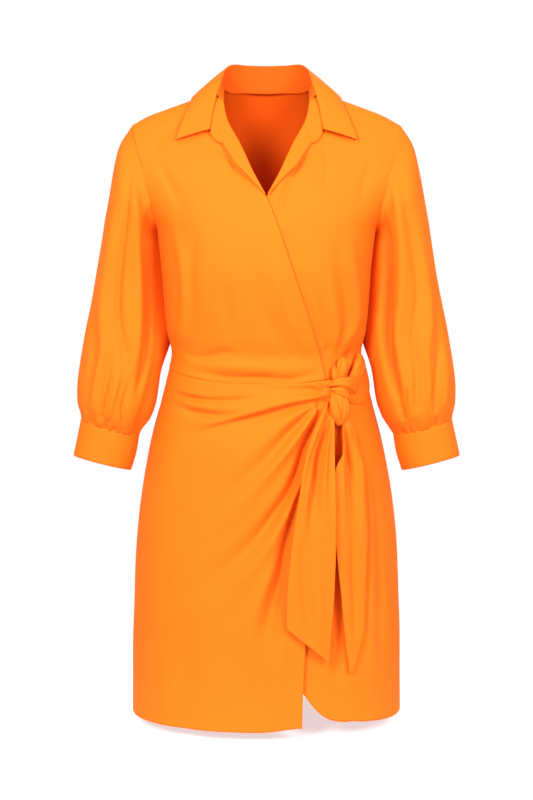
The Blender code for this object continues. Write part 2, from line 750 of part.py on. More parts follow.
def other_side(ends):
    """The same wall directions for the mirrored piece."""

    def turned(u, v, normal):
        return flip_x(ends(u, v, flip_x(normal)))

    return turned


def flip_x(vector):
    return Vector((-vector.x, vector.y, vector.z))


def build_skirt():
    cloth("skirt_front_over", skirt_front_over, 26, 19, flip=True, mitre=skirt_ends)
    cloth("skirt_front_under", skirt_front_under, 12, 14, mitre=skirt_ends)
    cloth("skirt_back", skirt_back, 16, 12, mitre=skirt_ends)


def build_tie():
    cloth("tie_band", tie_band, 6, 4)
    cloth("tie_tail_front", tail(TAIL_FRONT, TAIL_FRONT_POINT, 0.0022), 6, 14, flip=True)
    cloth("tie_tail_back", tail(TAIL_BACK, 0.0, 0.0014), 5, 14, flip=True)
    rolls = [roll_of_cloth(f"tie_knot_{name}", *sizes) for name, *sizes in KNOT_ROLLS]
    knot = rolls[0]
    knot.name = knot.data.name = "tie_knot"
    for other in rolls[1:]:
        join = knot.modifiers.new("join", "BOOLEAN")
        join.operation = "UNION"
        join.object = other
        other.hide_render = True
        other.display_type = "WIRE"
    for name, *sizes in TIE_LOOPS:
        roll_of_cloth(f"tie_loop_{name}", *sizes)


def clear_scene():
    for old in list(bpy.data.objects):
        bpy.data.objects.remove(old)


clear_scene()
GARMENT = bpy.data.collections.new("wrap_dress")
bpy.context.scene.collection.children.link(GARMENT)
build_bodice()
build_collar()
build_sleeves()
build_skirt()
build_tie()
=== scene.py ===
"""Wrap shirt dress: the looks. Every piece of cloth is a sheet on the form of its solid, creased."""

import math

import bpy
import numpy as np
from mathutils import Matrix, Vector


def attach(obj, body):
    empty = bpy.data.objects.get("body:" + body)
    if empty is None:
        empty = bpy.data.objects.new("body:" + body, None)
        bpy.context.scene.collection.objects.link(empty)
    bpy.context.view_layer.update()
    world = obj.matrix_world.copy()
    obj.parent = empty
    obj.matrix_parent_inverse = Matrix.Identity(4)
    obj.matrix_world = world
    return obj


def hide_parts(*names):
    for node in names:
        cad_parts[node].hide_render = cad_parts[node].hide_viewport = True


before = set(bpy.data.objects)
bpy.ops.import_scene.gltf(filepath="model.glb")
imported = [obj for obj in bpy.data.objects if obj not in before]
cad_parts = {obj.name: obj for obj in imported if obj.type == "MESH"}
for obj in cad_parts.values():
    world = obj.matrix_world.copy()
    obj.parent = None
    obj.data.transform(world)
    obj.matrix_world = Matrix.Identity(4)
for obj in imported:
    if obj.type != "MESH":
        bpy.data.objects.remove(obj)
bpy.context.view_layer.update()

MM = 0.001
# walls of the sheets: single cloth, doubled cloth and the tie's rolls
CLOTH = 0.9 * MM
DOUBLE = 1.7 * MM
ROLLED = 0.6 * MM


def metres(*rows, first=0):
    """The rows in metres. The columns before the first are shares or angles, and stay as they are."""
    return tuple((*row[:first], *(value * MM for value in row[first:])) for row in rows)


# ---------------------------------------------------------------- the form, close to that of the solids
# The tables are in millimetres, and metres() turns them into metres. Single numbers are in metres.
UNDERARM_Z = -0.205
HEM_Z = -0.910
WAIST_SIDE_Z = -0.4040
WAIST_DIP = 0.0105
ROUNDNESS = 2.25
CHEST_FLAT = 0.50
BACK_FLAT = 0.22
BUST_Z, BUST_DEPTH = -0.255, 0.129
BLADE_Z, BLADE_DEPTH = -0.215, 0.110
NECK_X, NECK_Z, NECK_BACK, NAPE_RISE = 0.062, -0.005, 0.055, 0.048
SHOULDER_TIP = (0.192, -0.053)
ARMHOLE_LOW = (0.1563, UNDERARM_Z)
ARMHOLE_FULL = 0.70
LAYER = 0.0034
# how far cloth is moved off that form
SHOULDER_DROP = 5.0 * MM
OVER_HEM_RISE = 6.0 * MM
KNOT_SIDE_LIFT = 3.0 * MM
TAIL_RAISE = 3.0 * MM
CUFF_DIP = 4.5 * MM
# how many of its rows' steps the cuff reaches up into the sleeve
CUFF_LAP = 1.1
# the sleeve goes under the bodice's edge by this much at the underarm, and at the shoulder
SLEEVE_UNDERLAP = (6.0 * MM, 0.4 * MM)
SLEEVE_DRAWN_IN = 20.0 * MM
# share of a roll's size
GROOVE_DEPTH = 0.22
# where the underarm comes up a bodice's rows, and where the neck ends across the back
UNDERARM_ROW = 0.46
NECK_COLUMN = 0.42

# columns and rows of each net
NETS = {
    "front": (130, 160),
    "back": (150, 120),
    "skirt_over": (200, 200),
    "skirt_under": (130, 130),
    "skirt_rear": (130, 110),
    "sleeve": (200, 130),
    "cuff": (110, 22),
    "stand": (160, 16),
    "leaf": (160, 26),
    "turned": (60, 16),
    "tail_front": (68, 170),
    "tail_back": (52, 170),
    "band": (60, 50),
    "strand": (44, 52),
}

# height, half width, front depth, back depth
BODY = metres(
    (-940, 198, 132.5, 124), (-820, 196.2, 131.5, 125), (-720, 193, 130, 126.5), (-640, 188, 128.5, 127),
    (-570, 179.3, 126, 125), (-510, 167.5, 122.5, 118), (-455, 153, 116.5, 106.5), (-410, 142, 108.5, 95),
    (-381, 136.8, 104, 90.5), (-350, 143.2, 112, 94.5), (-305, 147.5, 122, 100), (-255, 151.2, 129, 107),
    (-215, 155.5, 129, 110), (-165, 160, 129, 110),
)

# height, x of the over wrap's edge
WRAP_EDGE = metres(
    (-430, 86), (-396.6, 80), (-300.9, 51.9), (-222.5, 26.2), (-184.8, 13.1), (-152.7, -0.4), (-121.4, -17.8),
    (-82.3, -37.2), (-57.4, -51.3), (-40.3, -57.2), (-8.1, -61.8), (10, -62.5),
)

# height, x of the over skirt's hanging edge
SKIRT_EDGE = metres(
    (-940, 50), (-860, 51.4), (-786, 55), (-700, 62.5), (-600, 74), (-500, 87.5), (-450, 91.5), (-400, 90),
)

# height, x of the under skirt's hidden edge
UNDER_EDGE = metres(
    (-940, 40), (-820, 39), (-600, 20), (-400, -10),
)
UNDER_CORNER = (0.157, -0.820)
UNDER_CORNER_SIZE = (0.118, 0.0915)
# x, rise of the under skirt's hem above its corner's curve
UNDER_HEM_RISE = metres(
    (20, 6), (56, 6.2), (74, 2), (90, 1.2), (108, 4.2), (125, 8), (145, 6.6), (165, 4), (190, 2),
)

# share of the length, outer x and z, inner x and z, half depth, centre y
SLEEVE = metres(
    (0, 192, -53, 156.3, -205, 64, 0), (0.08, 208, -81, 157.2, -209, 65, 0),
    (0.17, 218, -120.5, 157.6, -213, 64.5, 0), (0.26, 225.8, -163, 157.4, -219, 63, -0.5),
    (0.35, 234, -205.9, 156, -229, 61.5, -1), (0.5, 247.2, -277.7, 153.5, -301, 60, -3),
    (0.65, 260.5, -350, 149.6, -376, 59.5, -7), (0.8, 271.2, -416, 157, -443, 60, -12),
    (0.89, 272.2, -450, 166.5, -473, 56, -14.5), (0.96, 269, -468, 178, -491.2, 47, -16),
    (1, 267.7, -476, 183.5, -499.7, 41, -16.7),
    first=1,
)
CUFF = metres(
    (0, 267.8, -476.3, 183.5, -499.8, 41, -16.7), (0.5, 273.4, -503, 188, -525.2, 40.5, -18),
    (1, 279, -529.6, 195.8, -551.2, 39.8, -19.3),
    first=1,
)

# share from the centre back, roll line x y z, outer edge x y z, swell over the roll
LEAF = metres(
    (0, 0, 54.8, 26.8, 0, 80, -29, 4.5), (0.124, 27.9, 49.5, 27.4, 38, 75.5, -29, 4.5),
    (0.279, 49, 35.2, 28.5, 79, 57, -25.5, 4.2), (0.434, 60, 17.2, 21.5, 100, 29, -19.5, 4),
    (0.546, 63.2, 0.2, 13, 105, 2, -16.5, 4), (0.62, 65.6, -14.5, 3.5, 108, -11.5, -23.5, 3.5),
    (0.81, 74.3, -37.5, -30, 117, -35, -46, 2.5), (1, 79.5, -57.5, -61, 128.5, -51.5, -76, 1),
    first=1,
)
# share from the centre back, x y z of the neck seam; the top is the leaf's roll line
STAND = metres(
    (0, 0, 54, -13.1), (0.18, 27.2, 48.5, -12.3), (0.41, 47.4, 35.2, -12.6), (0.64, 58.8, 17.2, -9.6),
    (0.8, 61, 1, -7.2), (0.9, 60.8, -11, -8.8), (1, 61.2, -28.5, -22),
    first=1,
)
STAND_REACH = 0.72
# share, fold x z, outer x z, lift of the outer edge
STAND_END = metres(
    (0, 62.2, -7.2, 69.2, -6.8, 3), (0.12, 63.2, -15, 72.2, -16, 3.4), (0.36, 61.2, -21.5, 73, -25, 3.4),
    (0.62, 59, -35, 76.8, -48, 3.4), (0.8, 56.2, -45, 77, -69, 3.4), (0.9, 54.2, -51, 70, -78.5, 3.8),
    (1, 52, -56.5, 60.5, -83.5, 3.4),
    first=1,
)
FACING = metres(
    (0, 53, -53, 62, -76, 3.4), (0.08, 50.5, -58.5, 59.7, -84.8, 4.4), (0.26, 43, -71, 50, -98.5, 4.6),
    (0.45, 36.5, -82.3, 42.5, -110.5, 4.8), (0.63, 29, -97.5, 34.5, -118, 4.4),
    (0.78, 19, -119, 22.5, -129.2, 3.8), (0.92, 6.5, -141.5, 7.8, -144.5, 3),
    (1, 1.8, -149.5, 2.4, -151, 2.7),
    first=1,
)

# height, left x, right x, lift off the skirt
TAIL_FRONT = metres(
    (-440, 84.5, 93, 5), (-456, 76.5, 94.5, 8.5), (-470, 69.2, 95, 11), (-502, 57, 95, 13.5),
    (-571.5, 45.4, 96.6, 17.5), (-642.5, 35.1, 97.1, 16.5), (-713.9, 29, 95, 15), (-756.5, 28.8, 92, 14),
    (-808, 28, 88.5, 13),
)
TAIL_FRONT_POINT = 0.0510
TAIL_BACK = metres(
    (-440, 101, 109, 4.5), (-456, 106.5, 114, 6.5), (-470, 108, 118, 8), (-488, 108.5, 122.5, 9),
    (-510, 106.5, 127.8, 10), (-536.2, 96.2, 134.8, 10.5), (-606.9, 95.5, 142.2, 9), (-660, 99.5, 142, 8),
    (-713.9, 105.8, 139.9, 7), (-767.1, 111, 138.4, 6.5), (-826.4, 118, 122.5, 6),
)
# share from the knot, angle round the body, lower and upper height
BAND = metres(
    (0, 45, -442, -413), (0.25, 36, -447.5, -404), (0.5, 25, -448, -393.5), (1, 0.5, -431, -385),
    first=2,
)

# x, z, lift of the middle, half width, half depth, all in millimetres
KNOT_STRANDS = (
    (
        (95.5, -418, 4, 6, 5), (96.5, -434, 7.5, 10.5, 8), (97.5, -454, 8, 10, 8), (98.5, -469, 5, 5, 4.5),
    ),
    (
        (89.5, -430, 8, 3, 3), (88.5, -444, 13, 6, 5.8), (92.5, -459, 12.5, 6.8, 5.8),
        (98.5, -473.5, 6.5, 3.2, 3),
    ),
    (
        (99, -433, 11, 3, 3), (103, -445, 12.5, 6, 5.8), (103.5, -458, 11.5, 6.2, 5.5),
        (99.5, -473, 6.5, 3.2, 3),
    ),
    (
        (87, -424, 9, 2, 2.5), (94.5, -427.5, 15, 5.6, 4.2), (103, -433.5, 15, 5.2, 4.2),
        (110.5, -441.5, 10, 2.6, 3),
    ),
    (
        (84.5, -418.5, 5.5, 1.8, 2.5), (93, -416.5, 15, 6.6, 4.6), (103, -418.5, 16.5, 9.6, 4.8),
        (113.5, -421.5, 11, 12.2, 4.2), (122.5, -422.5, 5.5, 14, 3.4), (130, -422.5, -0.5, 16.5, 2.6),
    ),
)
KNOT_GROOVES = (3, 3, 3, 3, 5)
LOOP_GROOVES = 3
KNOT_FACING = np.array((0.496, -0.868, 0.0))
# rolls of the loops, with the same columns, from the knot to the top
INNER_LOOP = (
    (98.5, -414, 6, 4, 3.5), (99.5, -405, 10, 7.2, 6), (100, -395, 12, 8.8, 7.2), (100.2, -386, 11, 7.6, 6.2),
    (100.3, -379.5, 7, 3, 3),
)
OUTER_LOOP = (
    (113, -415, 5, 4, 3), (117.5, -405, 9.5, 6.6, 5), (121.3, -395, 10.5, 7.4, 5.5),
    (124.3, -386, 9, 5.8, 4.8), (126.2, -379, 5, 2.6, 2.8),
)
LOOP_ENDS = (
    (
        (121, -415, 6, 3, 3), (125.5, -406, 9.5, 4.2, 3.8), (128.2, -397, 9, 4, 3.6),
        (129.2, -388.5, 5, 2.2, 2.2),
    ),
    (
        (95, -415, 4, 3.4, 3), (93, -406, 6, 4.6, 3.6), (92.5, -398, 6, 4, 3.2),
        (93.5, -391.5, 3.5, 1.8, 1.8),
    ),
)

# ---------------------------------------------------------------- creases, in millimetres
# A crease is a soft trough along a line, and a negative depth makes it a ridge. Its columns are x, z, depth,
# reach on the right hand of the way that the line is drawn, and reach on the left hand.
SKIRT_CREASES = {
    "waist_lap": ((80, -423, 1.2, 3, 5), (44, -423, 1.6, 4, 6), (-3, -419, 0.8, 5, 8), (-49, -415, 0, 5, 8)),
    "hip_first": (
        (-11, -435, 0, 5, 8), (-42, -437, 2, 4, 7), (-80, -438, 3.2, 3, 6), (-111, -436, 3.6, 2.5, 5),
        (-132, -433, 0.6, 3, 6),
    ),
    "hip_ridge": (
        (-18, -443, -0.4, 7, 6), (-69, -447, -1.8, 7, 6), (-111, -444, -1.4, 6, 5), (-130, -441, 0, 5, 5),
    ),
    "hip_second": (
        (-22, -451, 0.2, 7, 8), (-49, -458, 1.8, 5, 8), (-80, -458, 2.6, 4, 7), (-107, -455, 2.2, 4, 7),
        (-127, -449, 0.2, 5, 8),
    ),
    "long_pull": (
        (85, -436, 4.5, 2, 6), (44, -443, 4.6, 2.2, 9), (13, -450, 4.4, 2.4, 11), (-22, -460, 4.2, 2.6, 13),
        (-61, -471, 3.4, 3.2, 14), (-92, -483, 1.6, 6, 16), (-119, -495, 0, 8, 18),
    ),
    "long_crest": (
        (74, -433, -1.5, 4, 3), (36, -438, -2.4, 6, 4), (-3, -448, -2.6, 7, 4), (-42, -459, -2, 8, 5),
        (-76, -467, -0.8, 9, 7), (-107, -470, 0, 9, 8),
    ),
    "second_pull": (
        (75, -445, 3.6, 3, 4), (51, -463, 3.4, 5, 6), (28, -486, 2.6, 7, 9), (-3, -523, 2.2, 11, 12),
        (-30, -555, 1.4, 15, 15), (-65, -592, 0, 18, 18),
    ),
    "second_crest": (
        (67, -441, -1.6, 5, 4), (32, -462, -2.6, 9, 7), (-3, -494, -2, 13, 10), (-42, -529, -0.8, 16, 14),
        (-77, -560, 0, 18, 16),
    ),
    "third_crest": (
        (69, -450, -2.6, 4, 4), (48, -479, -4.2, 6, 6), (24, -511, -4.4, 8, 8), (-7, -547, -3.4, 11, 10),
        (-38, -584, -1.8, 14, 13), (-73, -628, 0, 17, 16),
    ),
    "deep_pull": (
        (74, -454, 5, 3, 4), (65, -470, 7.5, 4, 5), (54, -494, 6.5, 5, 6), (44, -533, 6.5, 6, 8),
        (28, -570, 7, 7, 10), (5, -605, 6.2, 9, 12), (-18, -637, 4.6, 12, 14), (-50, -670, 2.8, 16, 17),
        (-89, -708, 0.8, 20, 20), (-117, -732, 0, 22, 22),
    ),
    "fourth_crest": (
        (63, -494, -2, 4, 5), (52, -537, -3, 5, 6), (36, -578, -4, 7, 7), (13, -620, -3.6, 10, 9),
        (-15, -664, -2.4, 14, 12), (-50, -712, -0.8, 18, 16), (-77, -744, 0, 20, 18),
    ),
    "fall_pull": (
        (52, -549, 2, 4, 5), (41, -584, 5, 5, 7), (28, -632, 7, 7, 10), (20, -676, 7.6, 8, 11),
        (11, -716, 7, 10, 12), (4, -752, 4.5, 12, 13), (1, -784, 1.6, 14, 14), (-6, -837, 1.6, 14, 15),
        (-19, -894, 0.6, 15, 16),
    ),
    "fall_crest": (
        (13, -664, -0.5, 8, 7), (-3, -700, -2, 10, 9), (-19, -744, -2.2, 13, 12), (-30, -792, -1.2, 15, 15),
        (-42, -881, 0, 18, 18),
    ),
    "last_crest": (
        (28, -760, -0.4, 9, 8), (19, -800, -1.6, 12, 10), (13, -841, -1.6, 13, 12), (13, -898, -1, 14, 14),
    ),
    "hem_wave": ((-109, -752, 0, 16, 18), (-115, -808, 1.2, 16, 18), (-120, -898, 1.6, 18, 18)),
}
UNDER_SKIRT_CREASES = {
    "between_tails": (
        (98, -478, 1, 4, 4), (99, -520, 4, 4, 5), (100, -580, 6, 5, 6), (101, -640, 6.8, 7, 7),
        (101, -700, 7, 9, 7), (101, -760, 6.6, 11, 8), (102, -800, 4.4, 12, 10), (103, -850, 0, 12, 12),
    ),
    "band_fall": (
        (133, -496, 1, 4, 4), (139, -555, 2.2, 4, 5), (142, -642, 1.6, 4, 6), (141, -763, 0.8, 6, 8),
        (141, -864, 0, 9, 9),
    ),
    "side_fall": (
        (145, -531, -0.6, 4, 5), (148, -610, -1.6, 4, 5), (149, -722, -1.4, 5, 6), (149, -824, -0.4, 8, 8),
    ),
    "outer_fall": (
        (151, -555, 0.4, 4, 4), (161, -642, 1.8, 4, 5), (164, -743, 1.6, 5, 6), (163, -844, 0.2, 8, 8),
    ),
    "tail_shade": (
        (101, -462, 3, 4, 5), (101, -480, 4.5, 4, 6), (100, -520, 3.5, 5, 6), (100, -660, 2.4, 6, 7),
        (101, -780, 1.6, 8, 8), (103, -850, 0, 10, 10),
    ),
}
OVER_CREASES = {
    "yoke_fall": (
        (-150, -106, 0.2, 6, 6), (-142, -126, 1.6, 5, 8), (-129, -149, 1.5, 6, 10), (-114, -178, 0.2, 9, 12),
    ),
    "side_crest": (
        (-137, -172, 0, 8, 8), (-124, -218, -1.4, 7, 8), (-116, -264, -2, 6, 7), (-116, -302, -2, 6, 7),
        (-121, -341, -1.4, 7, 8), (-127, -364, 0, 8, 8),
    ),
    "side_fall": (
        (-101, -187, 0, 9, 10), (-104, -226, 1.4, 7, 10), (-108, -264, 1.8, 6, 10), (-106, -302, 1.4, 7, 10),
        (-111, -341, 0.4, 9, 12),
    ),
    "rib_fall": (
        (-55, -272, 0, 10, 11), (-54, -302, 1.2, 8, 11), (-53, -333, 1.4, 8, 11), (-59, -364, 0.4, 10, 12),
    ),
    "long_fall": (
        (-20, -226, 0, 14, 14), (-17, -256, 1.2, 12, 14), (-8, -302, 1.8, 11, 14), (10, -341, 1.6, 11, 13),
        (33, -372, 0.4, 10, 11),
    ),
    "wrap_crest": (
        (6, -226, 0, 12, 12), (18, -275, -1.4, 11, 10), (37, -326, -1.6, 10, 9), (56, -364, -0.8, 8, 8),
    ),
    "puff": (
        (60, -392, -0.6, 6, 6), (22, -392, -1.8, 8, 8), (-21, -391, -3, 9, 9), (-55, -390, -3, 9, 9),
        (-94, -388, -1.6, 9, 8), (-121, -380, -0.6, 8, 7),
    ),
    "puff_dent": (
        (-40, -374, 0.4, 8, 8), (-59, -373, 1.8, 7, 7), (-78, -379, 2.2, 6, 6), (-102, -381, 1.6, 6, 6),
        (-117, -374, 0.2, 7, 7),
    ),
    "tuck": (
        (72, -401, 0.6, 5, 4), (34, -408, 3.4, 5, 4), (-9, -406, 4.4, 5, 4), (-55, -406, 3.4, 5, 4),
        (-86, -403, 1.2, 5, 4), (-113, -397, 0, 5, 4),
    ),
    "shoulder_pull": (
        (-100, -36, 0, 7, 7), (-130, -57, 1, 7, 8), (-157, -85, 0.8, 8, 9), (-169, -111, 0, 9, 9),
    ),
}
UNDER_CREASES = {
    "collar_pull": ((49, -89, 0.8, 4, 4), (39, -117, 1.8, 4, 5), (26, -146, 2, 4, 5), (16, -172, 1, 3, 4)),
    "collar_crest": (
        (44, -85, -0.2, 5, 5), (27, -119, -1.6, 5, 5), (14, -142, -1.2, 5, 5), (8, -157, 0, 5, 5),
    ),
    "yoke_fall": ((82, -85, 0.6, 5, 6), (84, -119, 1, 6, 7), (79, -157, 0, 8, 8)),
    "yoke_fall_outer": ((147, -100, 0.4, 6, 6), (136, -138, 1.2, 7, 8), (129, -172, 0, 9, 9)),
    "fan_first": ((26, -203, 1.2, 4, 6), (37, -226, 0.8, 6, 8), (52, -248, 0, 8, 9)),
    "side_crest": (
        (115, -187, 0, 10, 9), (121, -248, -1.6, 8, 8), (129, -295, -2.2, 7, 6), (128, -333, -2, 6, 6),
        (114, -360, -1.2, 6, 6),
    ),
    "side_fall": (
        (94, -203, 0, 10, 9), (102, -248, 1.4, 9, 8), (110, -295, 1.8, 8, 7), (112, -333, 1.8, 6, 6),
        (103, -364, 1.2, 5, 5),
    ),
    "rib_fall": ((72, -264, 0, 9, 9), (79, -302, 1.2, 7, 7), (85, -341, 1.6, 6, 6), (87, -368, 1.4, 5, 5)),
    "rib_crest": (
        (83, -256, 0, 9, 9), (93, -302, -1.2, 7, 7), (99, -341, -1.6, 6, 6), (96, -368, -0.8, 5, 5),
    ),
    "loop_pocket": ((118, -374, 1.5, 4, 4), (114, -383, 5, 5, 5), (109, -396, 5, 5, 5), (105, -408, 2, 5, 5)),
    "edge_fall": ((52, -295, 0.8, 4, 5), (66, -326, 1.4, 4, 5), (76, -356, 1.4, 4, 5)),
}
SLEEVE_CREASES_OVER = {
    "body_fall": (
        (-165, -176, 0.6, 5, 4), (-167, -225, 6.4, 7, 5), (-166, -275, 9, 7, 5), (-165, -330, 9, 7, 5),
        (-169, -385, 5.4, 7, 5), (-184, -440, 0.6, 6, 5),
    ),
    "inner_crest": (
        (-188, -113, 0, 6, 6), (-184, -160, -2, 6, 7), (-182, -230, -3.4, 7, 8), (-181, -309, -3.6, 7, 8),
        (-184, -372, -2.6, 7, 8), (-195, -420, -1, 7, 7),
    ),
    "inner_fall": (
        (-192, -125, 0.4, 5, 5), (-197, -176, 2.4, 6, 5), (-204, -230, 3.6, 7, 6), (-210, -289, 4, 7, 7),
        (-209, -333, 3.4, 7, 7), (-201, -380, 2.4, 6, 7), (-209, -428, 1.6, 5, 6),
    ),
    "middle_crest": (
        (-210, -144, 0, 7, 7), (-218, -199, -1.8, 7, 7), (-227, -262, -2.4, 8, 7), (-234, -317, -2.6, 7, 7),
        (-232, -372, -2.4, 6, 6), (-243, -420, -1.8, 5, 5), (-249, -456, -0.6, 4, 4),
    ),
    "outer_fall": (
        (-232, -207, 0.4, 6, 6), (-243, -270, 1.6, 6, 6), (-249, -329, 2.2, 6, 6), (-245, -380, 2.2, 5, 5),
        (-253, -428, 2.2, 4, 4), (-257, -460, 1.6, 3, 3),
    ),
    "cuff_fall": (
        (-218, -372, 0.6, 6, 6), (-226, -412, 2.6, 5, 5), (-232, -440, 2.8, 4, 4), (-236, -468, 2, 3, 3),
    ),
    "cuff_crest": (
        (-201, -384, -0.6, 6, 6), (-208, -412, -2.4, 6, 5), (-218, -444, -2.4, 5, 4), (-224, -468, -1, 3, 3),
    ),
    "cuff_fall_inner": (
        (-190, -396, 0.6, 6, 6), (-196, -424, 2, 5, 5), (-203, -452, 2.4, 4, 4), (-204, -474, 1.6, 3, 3),
    ),
    "side_fall": (
        (-162, -176, 1, 7, 7), (-156, -270, 2.5, 8, 8), (-155, -349, 2.5, 8, 8), (-164, -428, 2, 8, 8),
        (-182, -476, 1.6, 6, 6),
    ),
}
SLEEVE_CREASES_UNDER = {
    "body_fall": (
        (165, -180, 0.6, 4, 5), (168, -230, 5.4, 5, 6), (168, -280, 7.4, 5, 6), (166, -335, 7.2, 5, 6),
        (171, -390, 4, 5, 6), (184, -440, 0.6, 5, 6),
    ),
    "inner_crest": (
        (176, -121, 0, 6, 6), (184, -176, -2.2, 7, 7), (190, -238, -3.2, 8, 8), (190, -301, -3.2, 8, 8),
        (185, -356, -2.6, 7, 7), (196, -424, -1.4, 6, 6),
    ),
    "inner_fall": (
        (184, -113, 0, 6, 6), (196, -168, 1.6, 7, 7), (208, -230, 2.4, 8, 8), (215, -293, 2.6, 8, 8),
        (208, -349, 2.4, 7, 7), (212, -400, 2, 6, 6), (215, -452, 1.4, 4, 4),
    ),
    "middle_crest": (
        (214, -176, 0, 7, 7), (226, -254, -1.6, 8, 8), (232, -325, -2.2, 8, 7), (227, -380, -2.2, 7, 6),
        (230, -428, -1.6, 5, 5), (228, -456, -0.6, 4, 4),
    ),
    "outer_fall": (
        (230, -230, 0.4, 6, 6), (241, -301, 1.6, 6, 6), (246, -364, 2, 6, 6), (241, -420, 2.2, 5, 4),
        (240, -458, 1.6, 3, 3),
    ),
    "torso_fall": (
        (165, -199, 0.6, 7, 7), (170, -278, 2.2, 7, 7), (172, -349, 2.6, 7, 7), (181, -412, 2.4, 6, 6),
        (194, -468, 2, 4, 4),
    ),
    "cuff_crest": ((205, -396, -0.8, 5, 5), (203, -436, -1.8, 4, 4), (206, -468, -0.8, 3, 3)),
    "outer_crest": ((251, -356, -0.4, 5, 5), (256, -404, -1.6, 5, 5), (254, -448, -1.2, 4, 4)),
}
KNOT_GATHERS = {
    "gather_first": (
        (86, -432, 1.2, 2, 2), (75, -425, 2, 2, 2.5), (63, -421, 1.4, 2.5, 3), (48, -419, 0, 3, 4),
    ),
    "gather_second": (
        (86, -435, 1, 1.6, 2), (76, -430, 1.8, 1.8, 2), (66, -428, 1, 2, 2.5), (53, -428, 0, 3, 3),
    ),
    "gather_third": (
        (85, -427, 0.8, 1.6, 2), (78, -419, 1.6, 1.8, 2), (69, -414, 0.6, 2, 2.5), (63, -412, 0, 3, 3),
    ),
}
FRONT_TAIL_CREASES = {
    "valley": (
        (86, -462, 1, 2, 2), (79, -485, 4.4, 2.5, 4), (73, -508, 5.6, 3, 5), (69, -540, 5, 3.5, 6),
        (66, -573, 3.4, 5, 8), (63, -612, 1.4, 7, 10), (60, -660, 0, 9, 12),
    ),
    "left_crest": (
        (80, -456, -0.6, 2, 2), (66, -487, -1.8, 3, 3), (54, -526, -1.6, 4, 4), (46, -573, -0.8, 5, 5),
        (40, -612, 0, 6, 6),
    ),
    "right_crest": (
        (90, -464, -0.8, 3, 3), (85, -495, -2.4, 4, 4), (81, -534, -2.4, 5, 5), (80, -581, -1.2, 6, 7),
        (80, -636, 0, 8, 8),
    ),
    "edge_line": ((88, -464, 1.2, 1.5, 1.5), (84, -479, 1.2, 1.5, 2), (77, -498, 0, 2, 2)),
    "low_fall": ((48, -612, 0, 6, 7), (50, -660, 1.2, 6, 8), (55, -715, 1.6, 7, 9), (64, -771, 0.6, 9, 10)),
    "low_crest": ((73, -660, 0, 8, 8), (73, -707, -1.2, 8, 8), (76, -755, -1, 8, 8), (81, -791, 0, 8, 8)),
}
BACK_TAIL_CREASES = {
    "valley": (
        (108, -466, 1, 2, 2), (114, -488, 4.4, 3, 3), (117, -514, 5.4, 3, 3.5), (120, -539, 3.4, 4, 4),
        (124, -575, 1.4, 5, 5), (125, -614, 0, 6, 6),
    ),
    "left_crest": (
        (106, -473, -0.6, 2, 2), (106, -500, -1.6, 3, 3), (106, -539, -1.8, 3, 4), (108, -583, -1, 4, 5),
        (112, -630, 0, 6, 6),
    ),
    "right_crest": (
        (115, -466, -0.6, 2, 2), (125, -492, -2, 3, 3), (133, -524, -2, 4, 4), (135, -567, -1.4, 4, 4),
        (136, -622, -0.6, 5, 5), (134, -670, 0, 6, 6),
    ),
    "low_fall": (
        (121, -606, 0, 5, 5), (123, -662, 1.2, 5, 6), (125, -718, 1.4, 5, 6), (126, -770, 0.6, 4, 4),
    ),
}

# as seen from behind, so x runs the other way
REAR_BODICE = {
    "blade_left": (
        (-105, -150, 0, 9, 9), (-98, -210, 1.4, 8, 10), (-88, -280, 1.8, 8, 10), (-80, -350, 0.6, 10, 11),
    ),
    "blade_right": ((100, -160, 0, 9, 9), (95, -230, 1.2, 10, 8), (84, -300, 1.8, 9, 8), (70, -372, 1, 9, 9)),
    "middle": (
        (8, -200, 0, 12, 12), (2, -270, 1.2, 12, 11), (-6, -340, 1.4, 11, 10), (-10, -390, 0.4, 10, 9),
    ),
    "puff": (
        (110, -380, -1, 8, 8), (40, -384, -2.6, 9, 9), (-40, -383, -2.4, 9, 9), (-110, -379, -0.8, 8, 8),
    ),
    "tuck": ((118, -399, 0.4, 5, 4), (50, -400, 1.6, 5, 4), (-30, -400, 1.7, 5, 4), (-115, -399, 0.4, 5, 4)),
}
# as seen through from the front
REAR_SKIRT = {
    "pull_left": (
        (120, -412, 2.4, 4, 7), (60, -440, 2.6, 6, 12), (0, -472, 1.6, 10, 16), (-50, -520, 0, 16, 20),
    ),
    "pull_right": (
        (-118, -410, 1.6, 6, 4), (-70, -430, 2, 10, 6), (-10, -452, 1, 14, 9), (40, -470, 0, 16, 12),
    ),
    "fall_left": (
        (70, -560, 0, 14, 16), (66, -680, 1.6, 14, 16), (72, -800, 2.6, 15, 17), (80, -905, 3, 16, 18),
    ),
    "fall_right": (
        (-84, -600, 0, 16, 14), (-80, -720, 1.4, 16, 14), (-86, -820, 2.4, 17, 15), (-92, -905, 2.8, 18, 16),
    ),
    "crest": ((0, -620, 0, 16, 16), (-4, -760, -1.2, 18, 18), (-8, -905, -2.2, 20, 20)),
}

# how many times its table's depth each set of creases is laid
FRONT_FOLDS = 1.75
BACK_FOLDS = 3.0
OVER_SKIRT_FOLDS = 2.0
UNDER_SKIRT_FOLDS = 1.65
REAR_SKIRT_FOLDS = 3.2
KNOT_FOLDS = 3.2
SLEEVE_FOLDS = 1.9
FRONT_TAIL_FOLDS = 2.6
BACK_TAIL_FOLDS = 2.4
CUFF_GATHERS = 20
GATHER_DEPTH = 4.4 * MM
GATHER_LENGTH = 22.0 * MM

